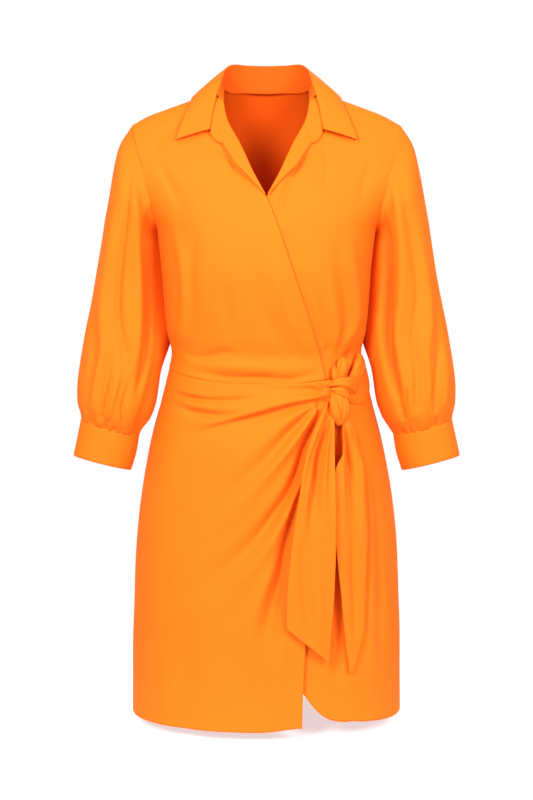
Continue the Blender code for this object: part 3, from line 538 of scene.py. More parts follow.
ORANGE = (0.985, 0.180, 0.0080, 1.0)
# a darker, redder copy of the orange for the inner faces of every sheet: painted shade for the inside of the
# dress
ORANGE_SHADED_INSIDE = (0.860, 0.105, 0.0030, 1.0)
GLOW = (0.980, 0.110, 0.0035, 1.0)
GLOW_SHARE = 0.15
SHEEN = (1.0, 0.80, 0.16, 1.0)
WHITE = (1.0, 1.0, 1.0, 1.0)
BACKDROP = (0.992, 0.992, 0.992, 1.0)
PAPER = (0.55, 0.55, 0.55, 1.0)
FLOOR_Z = -0.925
# distances from its middle between which the floor fades out
FLOOR_FADE = (0.20, 0.42)
ROOM_LIGHT = 0.67
LIT_POINT = (0.0, 0.0, -0.4)
# name, place, size and power of each lamp
LAMPS = (
    ("key", (-1.3, -2.4, 1.0), 0.9, 101.0),
    ("fill", (1.4, -2.2, 0.8), 1.0, 76.0),
    ("back", (0.5, 2.6, 1.0), 1.2, 55.0),
)
CAMERA_PLACE = (0.0, -3.0203, -0.0275)
CAMERA_TILT = 82.0
CAMERA_LENS = 94.655


# ---------------------------------------------------------------- curves
def ease(share):
    share = np.clip(share, 0.0, 1.0)
    return share * share * (3.0 - 2.0 * share)


def mix(first, second, share):
    return first + (second - first) * share


def through(rows, key):
    """The values at key on smooth curves through rows of key, value, value ..., one array for each."""
    table = np.array(rows, dtype=float)
    keys, values = table[:, 0], table[:, 1:]
    last = len(keys) - 1
    before, after = np.maximum(np.arange(last + 1) - 1, 0), np.minimum(np.arange(last + 1) + 1, last)
    slopes = (values[after] - values[before]) / (keys[after] - keys[before])[:, None]
    key = np.clip(np.asarray(key, dtype=float), keys[0], keys[-1])
    place = np.clip(np.searchsorted(keys, key, side="right") - 1, 0, last - 1)
    span = (keys[place + 1] - keys[place])[..., None]
    share = (key - keys[place])[..., None] / span
    rise = values[place + 1] - values[place]
    bend = (slopes[place] * span - rise) * (1.0 - share) - (slopes[place + 1] * span - rise) * share
    found = values[place] + share * rise + share * (1.0 - share) * bend
    return [found[..., column] for column in range(found.shape[-1])]


def points(x, y, z):
    x, y, z = np.broadcast_arrays(x, y, z)
    return np.stack([x, y, z], axis=-1).astype(float)


def shoulder_z(x, back=False):
    slope = (SHOULDER_TIP[1] - NECK_Z) / (SHOULDER_TIP[0] - NECK_X)
    x = np.abs(x)
    line = NECK_Z + slope * np.maximum(0.0, x - NECK_X)
    if not back:
        return line
    inwards = np.clip(1.0 - (x / NECK_X) ** 2, 0.0, 1.0)
    level = -slope * NECK_X / 2.0
    return line + level * inwards + (NAPE_RISE - level) * inwards**2


def depth_at(x, z, back=False):
    base_z, depth, flat = (BLADE_Z, BLADE_DEPTH, BACK_FLAT) if back else (BUST_Z, BUST_DEPTH, CHEST_FLAT)
    low = through(BODY, z)[2 if back else 1]
    share = np.clip((z - base_z) / (shoulder_z(x, back) - base_z), 0.0, 1.0)
    high = depth * np.sqrt(1.0 - share**2) * (1.0 - flat * share**2)
    return np.where(z <= base_z, low, high)


def share_at_depth(depth_share):
    low, high = np.zeros_like(depth_share), np.ones_like(depth_share)
    for _ in range(30):
        share = (low + high) / 2.0
        above = np.sqrt(1.0 - share**2) * (1.0 - BACK_FLAT * share**2) > depth_share
        low, high = np.where(above, share, low), np.where(above, high, share)
    return (low + high) / 2.0


def armhole(rise, back=False):
    """x, y and z of the left armhole at a share of its height."""
    x = mix(ARMHOLE_LOW[0], SHOULDER_TIP[0], rise)
    z = mix(ARMHOLE_LOW[1], SHOULDER_TIP[1], rise)
    full = ARMHOLE_FULL * np.sqrt(np.clip(1.0 - (1.0 - rise) ** 2.4, 0.0, 1.0))
    depth = full * depth_at(x, z, back)
    return x, (depth if back else -depth), z


def section_width(rise, back=False):
    x, y, z = armhole(rise, back)
    share = np.minimum(0.995, np.abs(y) / np.maximum(1e-6, depth_at(x, z, back)))
    return x / (1.0 - share**ROUNDNESS) ** (1.0 / ROUNDNESS)


def chest_point(x, rise, back=False):
    z = mix(UNDERARM_Z, shoulder_z(x, back), rise)
    at_seam = ease(np.abs(x) / armhole(rise, back)[0]) ** 2
    width = mix(ARMHOLE_LOW[0] + 0.05 * rise, section_width(rise, back), at_seam)
    side = np.clip(1.0 - np.minimum(1.0, np.abs(x) / width) ** ROUNDNESS, 0.0, 1.0) ** (1.0 / ROUNDNESS)
    depth = depth_at(x, z, back) * side
    return points(x, depth if back else -depth, z)


def girth_point(angle, z):
    turn = np.radians(angle)
    width = through(BODY, z)[0]
    across, along = np.cos(turn), np.sin(turn)
    x = np.sign(across) * width * np.abs(across) ** (2.0 / ROUNDNESS)
    front, back = depth_at(x, z), depth_at(x, z, True)
    depth = np.where(along < 0.0, back, front) * np.abs(along) ** (2.0 / ROUNDNESS)
    return points(x, -np.sign(along) * depth, z)


def angle_of(x, width):
    share = np.minimum(1.0, np.abs(x) / width)
    angle = np.degrees(np.arccos(share ** (ROUNDNESS / 2.0)))
    return np.where(x >= 0.0, angle, 180.0 - angle)


def front_point(x, z):
    """Point of the dress front at x and z, above or below the underarm."""
    x, z = np.broadcast_arrays(np.asarray(x, dtype=float), np.asarray(z, dtype=float))
    low = girth_point(angle_of(x, through(BODY, z)[0]), z)
    rise = np.clip((z - UNDERARM_Z) / (shoulder_z(x) - UNDERARM_Z), 0.0, 1.0)
    high = chest_point(x, rise)
    return np.where((z <= UNDERARM_Z)[..., None], low, high)


def unit(vectors):
    return vectors / np.maximum(1e-12, np.linalg.norm(vectors, axis=-1, keepdims=True))


def lifted_front(x, z, lift):
    step = 0.002
    across = front_point(x + step, z) - front_point(x - step, z)
    rising = front_point(x, z + step / 2) - front_point(x, z - step)
    lift = np.asarray(lift, dtype=float)
    return front_point(x, z) + unit(np.cross(across, rising)) * lift[..., None]


def waist_z(angle):
    return WAIST_SIDE_Z - WAIST_DIP * np.maximum(0.0, np.sin(np.radians(angle))) ** 2


# ---------------------------------------------------------------- cloth
def net(columns, rows):
    """u across and v along, for a net of cloth."""
    return np.meshgrid(np.linspace(0.0, 1.0, columns + 1), np.linspace(0.0, 1.0, rows + 1))


def net_normals(place, closed):
    """Normal at each point of a net; closed nets meet themselves across."""
    if closed:
        ring = place[:, :-1]
        across = np.roll(ring, -1, axis=1) - np.roll(ring, 1, axis=1)
        across = np.concatenate([across, across[:, :1]], axis=1)
    else:
        across = np.gradient(place, axis=1)
    return unit(np.cross(across, np.gradient(place, axis=0)))


def run_of(place, axis):
    """Length along the cloth from its first row or column, in metres."""
    steps = np.linalg.norm(np.diff(place, axis=axis), axis=-1)
    start = np.zeros_like(np.take(steps, [0], axis=axis))
    return np.concatenate([start, np.cumsum(steps, axis=axis)], axis=axis)


def swell(place, heights, outward, closed=False):
    """The net moved out by heights along its normals."""
    return place + net_normals(place, closed) * (heights * outward)[..., None]


def line_of(rows, count=48):
    """A smooth line through rows of points, evenly spread along it, with the rows' other columns."""
    rows = np.array(rows, dtype=float)
    steps = np.linalg.norm(np.diff(rows[:, :2], axis=0), axis=1)
    keys = np.concatenate([[0.0], np.cumsum(steps)])
    table = np.concatenate([keys[:, None], rows], axis=1)
    return np.stack(through(table, np.linspace(0.0, keys[-1], count)), axis=-1)


def crease(place, rows):
    """Height that a crease adds at each point of a net, in metres."""
    line = line_of(rows)
    x, z = place[..., 0] / MM, place[..., 2] / MM
    nearest = np.full(x.shape, np.inf)
    height = np.zeros(x.shape)
    for first, second in zip(line[:-1], line[1:]):
        step = second[:2] - first[:2]
        share = np.clip(((x - first[0]) * step[0] + (z - first[1]) * step[1]) / (step @ step), 0.0, 1.0)
        off_x, off_z = x - first[0] - share * step[0], z - first[1] - share * step[1]
        away = np.hypot(off_x, off_z)
        side = step[0] * off_z - step[1] * off_x
        depth, left, right = (mix(first[i], second[i], share) for i in (2, 3, 4))
        reach = np.where(side < 0.0, left, right)
        closer = away < nearest
        nearest = np.where(closer, away, nearest)
        height = np.where(closer, -depth * np.exp(-((away / reach) ** 2)), height)
    return height * MM


def creases(place, *tables):
    return sum(crease(place, rows) for table in tables for rows in table.values())


def gathers(share, away, start):
    """Uneven gathers that run out of a cuff's seam: share goes round it, away is the distance from it."""
    height = np.zeros(share.shape)
    held_by_seam = mix(0.62, 1.0, ease(away / (5.0 * MM)))
    for number in range(CUFF_GATHERS):
        middle = (number + 0.5 + 0.28 * math.sin(2.4 * number + start)) / CUFF_GATHERS
        width = (0.20 + 0.06 * math.sin(3.1 * number + start)) / CUFF_GATHERS
        deep = GATHER_DEPTH * (0.75 + 0.35 * math.sin(1.7 * number + 2.0 * start))
        reach = GATHER_LENGTH * (0.80 + 0.45 * math.sin(1.3 * number + start))
        off = (share - middle + 0.5) % 1.0 - 0.5
        spread = width * (1.0 + 0.9 * away / reach)
        height -= deep * held_by_seam * np.exp(-((off / spread) ** 2)) * np.exp(-((away / reach) ** 1.6))
    return height


def ripples(place, start, size=0.5 * MM):
    """Slight unevenness that any hung cloth has."""
    x, y, z = (place[..., axis] / 0.1 for axis in range(3))
    first = np.sin(4.1 * x + 1.3 * z + start) * np.sin(2.3 * z - 1.9 * x + 2.0 * start)
    second = np.sin(7.3 * x - 3.1 * y + 2.2 * z + 3.0 * start) * np.sin(3.7 * z + 2.9 * y - start)
    return size * (first + 0.6 * second)


def cloth(name, place, outward, thick=CLOTH, closed=False, nodes=()):
    """A sheet of cloth from a net of points: its outer face, a wall behind it, and its run as the UV map."""
    rows, columns = place.shape[0] - 1, place.shape[1] - 1
    across, along = run_of(place, 1), run_of(place, 0)
    count = columns if closed else columns + 1
    corners = place[:, :count].reshape(-1, 3)
    row, column = np.meshgrid(np.arange(rows), np.arange(columns), indexing="ij")
    after = (column + 1) % count
    a, b = row * count + column, row * count + after
    faces = np.stack([a, b, b + count, a + count], axis=-1).reshape(-1, 4)
    loops = np.stack([(row, column), (row, column + 1), (row + 1, column + 1), (row + 1, column)], axis=2)
    parts = loops.reshape(2, rows, 4, columns)
    loop_row, loop_column = (part.transpose(0, 2, 1).reshape(-1, 4) for part in parts)
    if outward < 0:
        faces, loop_row, loop_column = faces[:, ::-1], loop_row[:, ::-1], loop_column[:, ::-1]
    mesh = bpy.data.meshes.new(name)
    mesh.from_pydata(corners.tolist(), [], faces.tolist())
    uv = np.stack([across[loop_row, loop_column], along[loop_row, loop_column]], axis=-1)
    mesh.uv_layers.new(name="run").data.foreach_set("uv", uv.reshape(-1))
    mesh.shade_smooth()
    piece = bpy.data.objects.new(name, mesh)
    bpy.context.scene.collection.objects.link(piece)
    mesh.materials.append(CREPE)
    # the wall's inner face takes the darker copy of the crepe: painted shade on the inside of every sheet
    mesh.materials.append(CREPE_SHADED_INSIDE)
    wall = piece.modifiers.new("wall", "SOLIDIFY")
    wall.thickness = thick
    wall.offset = -1.0
    wall.material_offset = 1
    bpy.ops.object.select_all(action="DESELECT")
    piece.select_set(True)
    bpy.context.view_layer.objects.active = piece
    bpy.ops.object.modifier_apply(modifier="wall")
    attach(piece, "root")
    if nodes:
        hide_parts(*nodes)
    return piece


def feed(tree, node, inputs):
    """Gives each named socket of a node its value, or the output that is linked to it."""
    for socket, value in inputs.items():
        if isinstance(value, bpy.types.NodeSocket):
            tree.links.new(value, node.inputs[socket])
        else:
            node.inputs[socket].default_value = value


def add_node(tree, kind, inputs, **settings):
    """A new shader node, with its settings made before its sockets are fed."""
    node = tree.nodes.new("ShaderNode" + kind)
    for setting, value in settings.items():
        setattr(node, setting, value)
    feed(tree, node, inputs)
    return node


def crepe(name, tint):
    """Smooth crepe: a fine even grain, faint slubs and a soft sheen."""
    material = bpy.data.materials.new(name)
    material.use_nodes = True
    tree = material.node_tree
    run = add_node(tree, "UVMap", {}, uv_map="run").outputs["UV"]
    grain = add_node(tree, "Mapping", {"Vector": run, "Scale": (1.0, 0.62, 1.0)}).outputs["Vector"]
    fine = add_node(tree, "TexNoise", {"Vector": grain, "Scale": 1500.0, "Detail": 2.0})
    diagonal = {"Vector": run, "Scale": 420.0, "Distortion": 1.2}
    warp = add_node(tree, "TexWave", diagonal, bands_direction="DIAGONAL")
    both = add_node(tree, "Mix", {0: 0.35, 2: fine.outputs["Fac"], 3: warp.outputs["Fac"]})
    bump = add_node(tree, "Bump", {"Height": both.outputs[0], "Strength": 0.16, "Distance": 0.0003})
    where = add_node(tree, "TexCoord", {}).outputs["Object"]
    cloudy = add_node(tree, "TexNoise", {"Vector": where, "Scale": 9.0, "Detail": 3.0})
    shade = add_node(tree, "ValToRGB", {"Fac": cloudy.outputs["Fac"]})
    ends = shade.color_ramp.elements
    ends[0].position, ends[1].position = 0.30, 0.70
    ends[0].color, ends[1].color = [c * 0.955 for c in tint[:3]] + [1.0], tint
    threads = {0: 0.10, 6: shade.outputs["Color"], 7: fine.outputs["Color"]}
    thread = add_node(tree, "Mix", threads, data_type="RGBA", blend_type="MULTIPLY")
    shader = tree.nodes["Principled BSDF"]
    finish = {
        "Base Color": thread.outputs[2],
        "Roughness": 0.72,
        "Specular IOR Level": 0.10,
        "Sheen Weight": 0.07,
        "Sheen Roughness": 0.45,
        "Sheen Tint": SHEEN,
        "Normal": bump.outputs["Normal"],
    }
    feed(tree, shader, finish)
    glow = add_node(tree, "BsdfTranslucent", {"Color": GLOW})
    together = add_node(tree, "MixShader", {0: GLOW_SHARE, 1: shader.outputs["BSDF"], 2: glow.outputs["BSDF"]})
    feed(tree, tree.nodes["Material Output"], {"Surface": together.outputs["Shader"]})
    return material


CREPE = crepe("orange_crepe", ORANGE)
# the same crepe in a darker colour for the inner faces: painted shade
CREPE_SHADED_INSIDE = crepe("orange_crepe_shaded_inside", ORANGE_SHADED_INSIDE)


# ---------------------------------------------------------------- bodice
def split_rows(v):
    """Share of the height below the underarm, share of the height above it, and which rows are below."""
    above = np.clip((v - UNDERARM_ROW) / (1.0 - UNDERARM_ROW), 0.0, 1.0)
    return np.clip(v / UNDERARM_ROW, 0.0, 1.0), (1.0 - np.cos(math.pi * above)) / 2.0, v <= UNDERARM_ROW


def bodice_front(sink):
    """Net of one front, as the wearer's left one, from side seam and armhole to its wrap edge."""
    u, v = net(*NETS["front"])
    low, rise, below = split_rows(v)
    z_low = mix(WAIST_SIDE_Z - WAIST_DIP, UNDERARM_Z, low)
    z_edge = np.where(below, z_low, mix(UNDERARM_Z, NECK_Z, rise))
    width = np.where(below, through(BODY, z_low)[0], section_width(rise))
    outer = np.where(below, 0.0, angle_of(armhole(rise)[0], width))
    inner = angle_of(-through(WRAP_EDGE, z_edge)[0], width)
    angle = mix(outer, inner, u)
    girth = girth_point(angle, mix(waist_z(angle), UNDERARM_Z, low))
    across = np.cos(np.radians(angle))
    chest = chest_point(np.sign(across) * width * np.abs(across) ** (2.0 / ROUNDNESS), rise)
    place = np.where(below[..., None], girth, chest)
    if sink:
        past = place[..., 0] - through(WRAP_EDGE, place[..., 2])[0]
        hidden = ease((-0.085 - place[..., 2]) / 0.06)
        place[..., 1] += LAYER * (1.0 - ease((past - 0.004) / 0.034)) * hidden
        place[..., 1] += 0.005 * ease((-past - 0.008) / 0.030) * hidden
    return rounded_shoulder(eased_underarm(place))


def bodice_back_net():
    u, v = net(*NETS["back"])
    side, share = both_halves(u)
    low, rise, below = split_rows(v)
    z_low = mix(WAIST_SIDE_Z, UNDERARM_Z, low)
    width = np.where(below, through(BODY, z_low)[0], section_width(rise, True))
    near = NECK_X * np.sin(math.pi / 2 * np.minimum(1.0, share / NECK_COLUMN))
    outer = np.where(below, 0.0, angle_of(armhole(rise, True)[0], width))
    past_neck = np.clip((share - NECK_COLUMN) / (1.0 - NECK_COLUMN), 0.0, 1.0)
    angle = mix(angle_of(NECK_X, width), outer, past_neck)
    x = np.where(share <= NECK_COLUMN, near, width * np.cos(np.radians(angle)) ** (2.0 / ROUNDNESS))
    girth = girth_point(-angle_of(side * x, through(BODY, z_low)[0]), z_low)
    opening = NECK_BACK * np.sqrt(np.clip(1.0 - (x / NECK_X) ** 2, 0.0, 1.0))
    top_z = BLADE_Z + share_at_depth(opening / BLADE_DEPTH) * (shoulder_z(x, True) - BLADE_Z)
    highest = (top_z - UNDERARM_Z) / (shoulder_z(x, True) - UNDERARM_Z)
    cut = np.where(x < NECK_X, 1.0 - (1.0 - highest) * rise**3, 1.0)
    chest = chest_point(side * x, rise * cut, True)
    return rounded_shoulder(eased_underarm(np.where(below[..., None], girth, chest)))


def rounded_shoulder(place):
    """The net with its shoulder tips lowered, so that the seam runs over the shoulder in a soft curve."""
    near = np.exp(-(((np.abs(place[..., 0]) - 0.197) / 0.022) ** 2)) * ease((place[..., 2] + 0.125) / 0.075)
    place[..., 2] -= SHOULDER_DROP * near
    return place


def eased_underarm(place):
    """The net with the level of the underarm smoothed, but for its sewn edges."""
    u, v = net(place.shape[1] - 1, place.shape[0] - 1)
    hold = (np.exp(-(((v - UNDERARM_ROW) / 0.07) ** 2)) * ease(u / 0.06) * ease((1.0 - u) / 0.06))[..., None]
    for _ in range(160):
        between = (np.roll(place, 1, axis=0) + np.roll(place, -1, axis=0)) / 2.0
        place = mix(place, between, 0.5 * hold)
    return place


def worn(place, side):
    """A net of the wearer's left, as it is worn on the left with side 1 or on the right with side -1."""
    return place * np.array([side, 1.0, 1.0])


def both_halves(u):
    """Side and share from the centre back, across a net that is cut whole."""
    return np.where(u < 0.5, -1.0, 1.0), np.abs(2.0 * u - 1.0)


def seam_dent(distance, depth=0.6 * MM, reach=2.2 * MM):
    """Slight valley along a seam."""
    return -depth * np.exp(-((distance / reach) ** 2))


def edges_of(place):
    """Distances along the cloth from its four sides: first column, last column, first row, last row."""
    across, along = run_of(place, 1), run_of(place, 0)
    return across, across[:, -1:] - across, along, along[-1:] - along


def under_collar(side):
    """Troughs beneath the leaf's front edge and the facing, on one front."""
    leaf = ((side * 81, -63, 2.0, 3, 5), (side * 105, -70, 2.4, 3, 5), (side * 128, -79, 0.6, 4, 6))
    facing = (
        (side * 70, -88, 1.0, 4, 4),
        (side * 54, -98, 2.4, 4, 4),
        (side * 45, -112, 3.0, 4, 4),
        (side * 34, -121, 2.4, 4, 4),
        (side * 20, -133, 1.6, 3, 3),
        (side * 10, -145, 0.5, 3, 3),
    )
    return {"leaf": leaf, "facing": facing}


def sewn(place, depth=0.5 * MM, reach=1.4 * MM, sides=(True, True, True, True)):
    """Slight valleys along the sewn sides of a net: first column, last column, first row, last row."""
    return sum(seam_dent(side, depth, reach) for side, kept in zip(edges_of(place), sides) if kept)


def build_bodice():
    pieces = []
    for side, name, table, start in ((-1.0, "over", OVER_CREASES, 1.0), (1.0, "under", UNDER_CREASES, 2.0)):
        place = worn(bodice_front(side > 0), side)
        heights = sewn(place, sides=(True, False, True, True)) + ripples(place, start)
        heights += FRONT_FOLDS * creases(place, table, under_collar(side))
        place = swell(place, heights, -side)
        pieces.append(cloth(f"front_{name}", place, -side, nodes=[f"bodice_front_{name}"]))
    place = bodice_back_net()
    heights = sewn(place) + ripples(place, 3.0) + BACK_FOLDS * creases(worn(place, -1.0), REAR_BODICE)
    pieces.append(cloth("back", swell(place, heights, -1.0), -1.0, nodes=["bodice_back"]))
    return pieces


# ---------------------------------------------------------------- skirt
def skirt_over_net():
    u, v = net(*NETS["skirt_over"])
    z_edge = mix(WAIST_SIDE_Z - WAIST_DIP, HEM_Z, v)
    width = through(BODY, z_edge)[0]
    angle = mix(180.0, angle_of(through(SKIRT_EDGE, z_edge)[0], width), u)
    place = girth_point(angle, mix(waist_z(angle), HEM_Z, v))
    place[..., 2] += OVER_HEM_RISE * v**3 * ease((place[..., 0] + 0.02) / 0.07)
    return place


def skirt_under_net():
    u, v = net(*NETS["skirt_under"])
    z_edge = mix(WAIST_SIDE_Z - WAIST_DIP, HEM_Z, v)
    width = through(BODY, z_edge)[0]
    angle = mix(0.0, angle_of(through(UNDER_EDGE, z_edge)[0], width), u**0.9)
    x = girth_point(angle, z_edge)[..., 0]
    out = np.clip((UNDER_CORNER[0] - x) / UNDER_CORNER_SIZE[0], 0.0, 1.0)
    hem = UNDER_CORNER[1] - UNDER_CORNER_SIZE[1] * np.sqrt(1.0 - out * out)
    place = girth_point(angle, mix(waist_z(angle), np.maximum(hem, HEM_Z), v))
    place[..., 2] += through(UNDER_HEM_RISE, place[..., 0])[0] * v**3
    past = place[..., 0] - through(SKIRT_EDGE, place[..., 2])[0]
    place[..., 1] += LAYER * (1.0 - ease((past - 0.003) / 0.030)) + 0.009 * ease((-past - 0.002) / 0.022)
    return place


def build_skirt():
    place = skirt_over_net()
    heights = OVER_SKIRT_FOLDS * creases(place, SKIRT_CREASES) + KNOT_FOLDS * creases(place, KNOT_GATHERS)
    heights += ripples(place, 4.0) + sewn(place, sides=(True, False, True, False))
    heights += KNOT_SIDE_LIFT * ease((place[..., 0] + 0.12) / 0.15)
    pieces = [cloth("skirt_over", swell(place, heights, -1.0), -1.0, nodes=["skirt_front_over"])]
    place = skirt_under_net()
    heights = UNDER_SKIRT_FOLDS * creases(place, UNDER_SKIRT_CREASES)
    heights += ripples(place, 5.0) + sewn(place, sides=(True, False, True, False))
    pieces.append(cloth("skirt_under", swell(place, heights, 1.0), 1.0, nodes=["skirt_front_under"]))
    u, v = net(*NETS["skirt_rear"])
    place = girth_point(mix(180.0, 360.0, u), mix(WAIST_SIDE_Z, HEM_Z, v))
    heights = REAR_SKIRT_FOLDS * creases(place, REAR_SKIRT)
    heights += ripples(place, 6.0) + sewn(place, sides=(True, True, True, False))
    pieces.append(cloth("skirt_rear", swell(place, heights, 1.0), 1.0, nodes=["skirt_back"]))
    return pieces


# ---------------------------------------------------------------- sleeves
def turn_round(u):
    """Angle round a sleeve from the underarm by the front, and how far up its height that is."""
    turn = math.pi * (2.0 * u - 0.5)
    return turn, (1.0 + np.sin(turn)) / 2.0


def tube_net(sections, u, v):
    """Net of a sleeve or cuff of the wearer's left."""
    outer_x, outer_z, inner_x, inner_z, depth, centre = through(sections, v)
    turn, rise = turn_round(u)
    return points(mix(inner_x, outer_x, rise), centre - depth * np.cos(turn), mix(inner_z, outer_z, rise))


def sleeve_net(u, v):
    """The sleeve hung from its armhole, tucked under the bodice's edge and drawn in behind the bodice."""
    turn, rise = turn_round(u)
    place = tube_net(SLEEVE, u, v)
    seam = np.where(np.cos(turn) < 0.0, armhole(rise, True)[1], armhole(rise)[1])
    place[..., 1] = mix(seam, place[..., 1], ease(v / 0.22))
    place = rounded_shoulder(place)
    reach = mix(0.17, 0.05, ease(rise / 0.5))
    place[..., 0] -= mix(*SLEEVE_UNDERLAP, ease(rise / 0.95)) * (1.0 - ease(v / reach))
    tucked = ease((v - 0.01) / 0.17) * ease((0.74 - v) / 0.16)
    off = (np.degrees(turn) + 118.0 + 180.0) % 360.0 - 180.0
    place[..., 0] -= SLEEVE_DRAWN_IN * tucked * np.exp(-((off / 36.0) ** 2))
    return place


def build_sleeves():
    pieces = []
    for side, name in ((1.0, "left"), (-1.0, "right")):
        u, v = net(*NETS["sleeve"])
        place = sleeve_net(u, v)
        front = ease(0.5 + 1.4 * np.cos(turn_round(u)[0]))
        seen = worn(place, side)
        before, behind = (SLEEVE_CREASES_UNDER, SLEEVE_CREASES_OVER)[:: int(side)]
        folds = creases(seen, before) * front + creases(worn(seen, -1.0), behind) * (1.0 - front)
        heights = SLEEVE_FOLDS * folds + gathers(u, edges_of(place)[3], 1.0 + side)
        heights += ripples(seen, 7.0 + side) * ease(v / 0.1)
        heights += sewn(place, 0.7 * MM, 2.0 * MM, (False, False, True, False))
        heights += sewn(place, 0.2 * MM, 1.2 * MM, (False, False, False, True))
        place = worn(swell(place, heights, -1.0, True), side)
        pieces.append(cloth(f"arm_{name}", place, -side, closed=True, nodes=[f"sleeve_{name}"]))
        u, v = net(*NETS["cuff"])
        place = tube_net(CUFF, u, v)
        place[..., 2] += CUFF_DIP * v * np.maximum(0.0, np.cos(turn_round(u)[0]))
        place[0] += (place[0] - place[1]) * CUFF_LAP
        heights = ripples(place, 9.0 + side, 0.35 * MM)
        heights += sewn(place, 0.35 * MM, sides=(False, False, True, True))
        place = worn(swell(place, heights, -1.0, True), side)
        pieces.append(cloth(f"band_{name}", place, -side, DOUBLE, True, [f"cuff_{name}"]))
    return pieces


# ---------------------------------------------------------------- collar
def from_nape(rows, sideways):
    """The rows with one more before the centre back, mirrored, so that both halves meet smoothly."""
    first = [-value if column in (0, *sideways) else value for column, value in enumerate(rows[1])]
    return (tuple(first), *rows)


def build_collar():
    u, v = net(*NETS["stand"])
    side, share = both_halves(u)
    leaf_rows, stand_rows = from_nape(LEAF, (1, 4)), from_nape(STAND, (1,))
    roll_x, roll_y, roll_z = through(leaf_rows, share * STAND_REACH)[:3]
    top = points(roll_x, roll_y, roll_z + 0.4 * MM)
    place = mix(points(*through(stand_rows, share)), top, v[..., None])
    place[..., 0] *= side
    pieces = [cloth("stand", place, -1.0, DOUBLE, nodes=["collar_stand"])]
    u, v = net(*NETS["leaf"])
    side, share = both_halves(u)
    roll_x, roll_y, roll_z, edge_x, edge_y, edge_z, rise = through(leaf_rows, share)
    roll, edge = points(roll_x, roll_y, roll_z), points(edge_x, edge_y, edge_z)
    away = unit(points(edge_x - roll_x, edge_y - roll_y, 0.0))
    bend = mix(roll, edge, 0.30) + (away + np.array([0.0, 0.0, 1.0])) * rise[..., None]
    w = v[..., None]
    place = (1 - w) ** 2 * roll + 2 * w * (1 - w) * bend + w * w * edge
    place[..., 0] *= side
    pieces.append(cloth("leaf", place, 1.0, DOUBLE, nodes=["collar_leaf"]))
    for name, side in (("over", -1.0), ("under", 1.0)):
        for part, rows in (("stand_end", STAND_END), ("facing", FACING)):
            u, v = net(*NETS["turned"])
            fold_x, fold_z, out_x, out_z, lift = through(rows, u)
            place = lifted_front(mix(fold_x, out_x, v), mix(fold_z, out_z, v), mix(0.0023, lift, v))
            place = worn(place, side)
            pieces.append(cloth(f"{part}_turned_{name}", place, side, DOUBLE, nodes=[f"{part}_{name}"]))
    return pieces


# ---------------------------------------------------------------- tie
def tail_net(name, rows, drop, folds):
    """A hanging end of the tie, standing off the skirt most along its middle length."""
    u, v = net(*NETS[name])
    z = mix(rows[0][0], rows[-1][0] + drop * (1.0 - u), v)
    left, right, lift = through(rows[::-1], z)
    x = mix(left, right, u)
    fold = folds * np.sin(2.0 * math.pi * (u + 0.1)) * ease((1.0 - v) * 1.6)
    place = girth_point(angle_of(x, through(BODY, z)[0]), z)
    place[..., 1] -= lift + fold
    place[..., 1] -= TAIL_RAISE * ease((-0.452 - place[..., 2]) / 0.03) * ease((place[..., 2] + 0.72) / 0.10)
    return place


def strand(name, rows, grooves, start, nodes=()):
    """A rolled strand of the tie's cloth, with grooves along it."""
    columns, count = NETS["strand"]
    u, v = net(columns, count)
    x, z, lift, wide, deep = (line[:, None] for line in line_of(rows, count + 1).T * MM)
    middle = lifted_front(x[:, 0], z[:, 0], lift[:, 0])
    along = unit(np.gradient(middle, axis=0))
    away = unit(KNOT_FACING - along * (along @ KNOT_FACING)[:, None])
    across = np.cross(away, along)
    turn = 2.0 * math.pi * u
    groove = np.abs(np.sin(0.5 * grooves * (turn + 0.5 * np.sin(3.0 * v + start)) + start)) ** 8
    size = 1.0 - GROOVE_DEPTH * groove
    side, rise = wide * size * np.cos(turn), deep * size * np.sin(turn)
    place = middle[:, None] + across[:, None] * side[..., None] + away[:, None] * rise[..., None]
    return cloth(name, place, 1.0, ROLLED, True, nodes)


def build_tie():
    pieces = []
    for name, rows, drop, folds, table, strength, start in (
        ("tail_front", TAIL_FRONT, TAIL_FRONT_POINT, 0.0022, FRONT_TAIL_CREASES, FRONT_TAIL_FOLDS, 11.0),
        ("tail_back", TAIL_BACK, 0.0, 0.0014, BACK_TAIL_CREASES, BACK_TAIL_FOLDS, 12.0),
    ):
        place = tail_net(name, rows, drop, folds)
        place = swell(place, strength * creases(place, table) + ripples(place, start, 0.4 * MM), -1.0)
        pieces.append(cloth(name, place, -1.0, DOUBLE, nodes=[f"tie_{name}"]))
    u, v = net(*NETS["band"])
    angle, low, high = through(BAND, u)
    place = girth_point(angle, mix(low, high, v))
    away = unit(place * np.array([1.0, 1.0, 0.0]))
    pleats = 1.3 * MM * np.abs(np.sin(math.pi * (2.1 * v - 0.3 * u))) ** 0.7 * (1.0 - 0.6 * u)
    tucked = ease((v + 0.10) / 0.30) * ease((1.08 - v) / 0.30)
    lift = mix(0.0050, 0.0024, ease(u / 0.3)) + pleats + ripples(place, 13.0, 0.3 * MM)
    place += away * (0.6 * MM + lift * tucked)[..., None]
    pieces.append(cloth("band", place, 1.0, DOUBLE, nodes=["tie_band"]))
    for number, (rows, grooves) in enumerate(zip(KNOT_STRANDS, KNOT_GROOVES)):
        pieces.append(strand(f"knot_{number + 1}", rows, grooves, 1.7 * number, ["tie_knot"] * (number == 0)))
    pieces.append(strand("loop_inner", INNER_LOOP, LOOP_GROOVES, 0.4, ["tie_loop_inner"]))
    pieces.append(strand("loop_outer", OUTER_LOOP, LOOP_GROOVES, 2.1, ["tie_loop_outer"]))
    for number, rows in enumerate(LOOP_ENDS):
        pieces.append(strand(f"loop_end_{number + 1}", rows, LOOP_GROOVES, 3.0 + number))
    return pieces


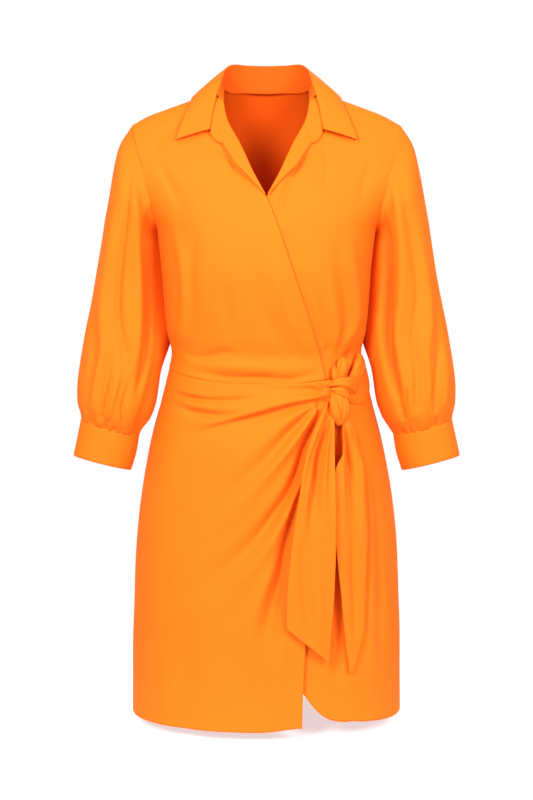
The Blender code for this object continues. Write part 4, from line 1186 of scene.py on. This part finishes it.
# ---------------------------------------------------------------- studio
def lay_floor():
    """A round of pale paper under the dress, which fades out round its middle."""
    bpy.ops.object.select_all(action="DESELECT")
    bpy.ops.mesh.primitive_circle_add(
        vertices=96, radius=1.0, fill_type="NGON", location=(0.0, 0.0, FLOOR_Z)
    )
    bpy.ops.object.transform_apply(location=True)
    floor = bpy.context.object
    floor.name = "floor"
    paper = bpy.data.materials.new("floor_paper")
    paper.use_nodes = True
    tree = paper.node_tree
    sheet = tree.nodes["Principled BSDF"]
    finish = {
        "Base Color": PAPER,
        "Roughness": 0.9,
        "Specular IOR Level": 0.0,
        "Emission Color": WHITE,
        "Emission Strength": 0.62,
    }
    feed(tree, sheet, finish)
    where = add_node(tree, "TexCoord", {}).outputs["Object"]
    level = add_node(tree, "Mapping", {"Vector": where, "Location": (0.0, 0.0, -FLOOR_Z)})
    reach = add_node(tree, "VectorMath", {0: level.outputs["Vector"]}, operation="LENGTH")
    fade = add_node(tree, "MapRange", {"Value": reach.outputs["Value"]})
    fade.inputs["From Min"].default_value, fade.inputs["From Max"].default_value = FLOOR_FADE
    clear = add_node(tree, "BsdfTransparent", {})
    mixed = {0: fade.outputs["Result"], 1: sheet.outputs["BSDF"], 2: clear.outputs["BSDF"]}
    either = add_node(tree, "MixShader", mixed)
    feed(tree, tree.nodes["Material Output"], {"Surface": either.outputs["Shader"]})
    floor.data.materials.append(paper)


def build_studio():
    lay_floor()
    scene = bpy.context.scene
    world = bpy.data.worlds.new("studio")
    scene.world = world
    world.use_nodes = True
    tree = world.node_tree
    room = tree.nodes["Background"]
    feed(tree, room, {"Color": WHITE, "Strength": ROOM_LIGHT})
    backdrop = add_node(tree, "Background", {"Color": BACKDROP})
    seen = add_node(tree, "LightPath", {}).outputs["Is Camera Ray"]
    mixed = {0: seen, 1: room.outputs["Background"], 2: backdrop.outputs["Background"]}
    either = add_node(tree, "MixShader", mixed)
    feed(tree, tree.nodes["World Output"], {"Surface": either.outputs["Shader"]})
    for name, where, size, power in LAMPS:
        light = bpy.data.lights.new(name, "AREA")
        light.size = size
        light.energy = power
        lamp = bpy.data.objects.new(name, light)
        lamp.location = where
        lamp.rotation_euler = (Vector(LIT_POINT) - Vector(where)).to_track_quat("-Z", "Y").to_euler()
        scene.collection.objects.link(lamp)
    camera = bpy.data.objects.new("camera", bpy.data.cameras.new("camera"))
    camera.data.lens = CAMERA_LENS
    camera.data.sensor_width = 36.0
    camera.data.clip_end = 60.0
    camera.location = CAMERA_PLACE
    camera.rotation_euler = (math.radians(CAMERA_TILT), 0.0, 0.0)
    scene.collection.objects.link(camera)
    scene.camera = camera
    scene.view_settings.view_transform = "Standard"


pieces = (*build_bodice(), *build_skirt(), *build_sleeves(), *build_collar(), *build_tie())
build_studio()
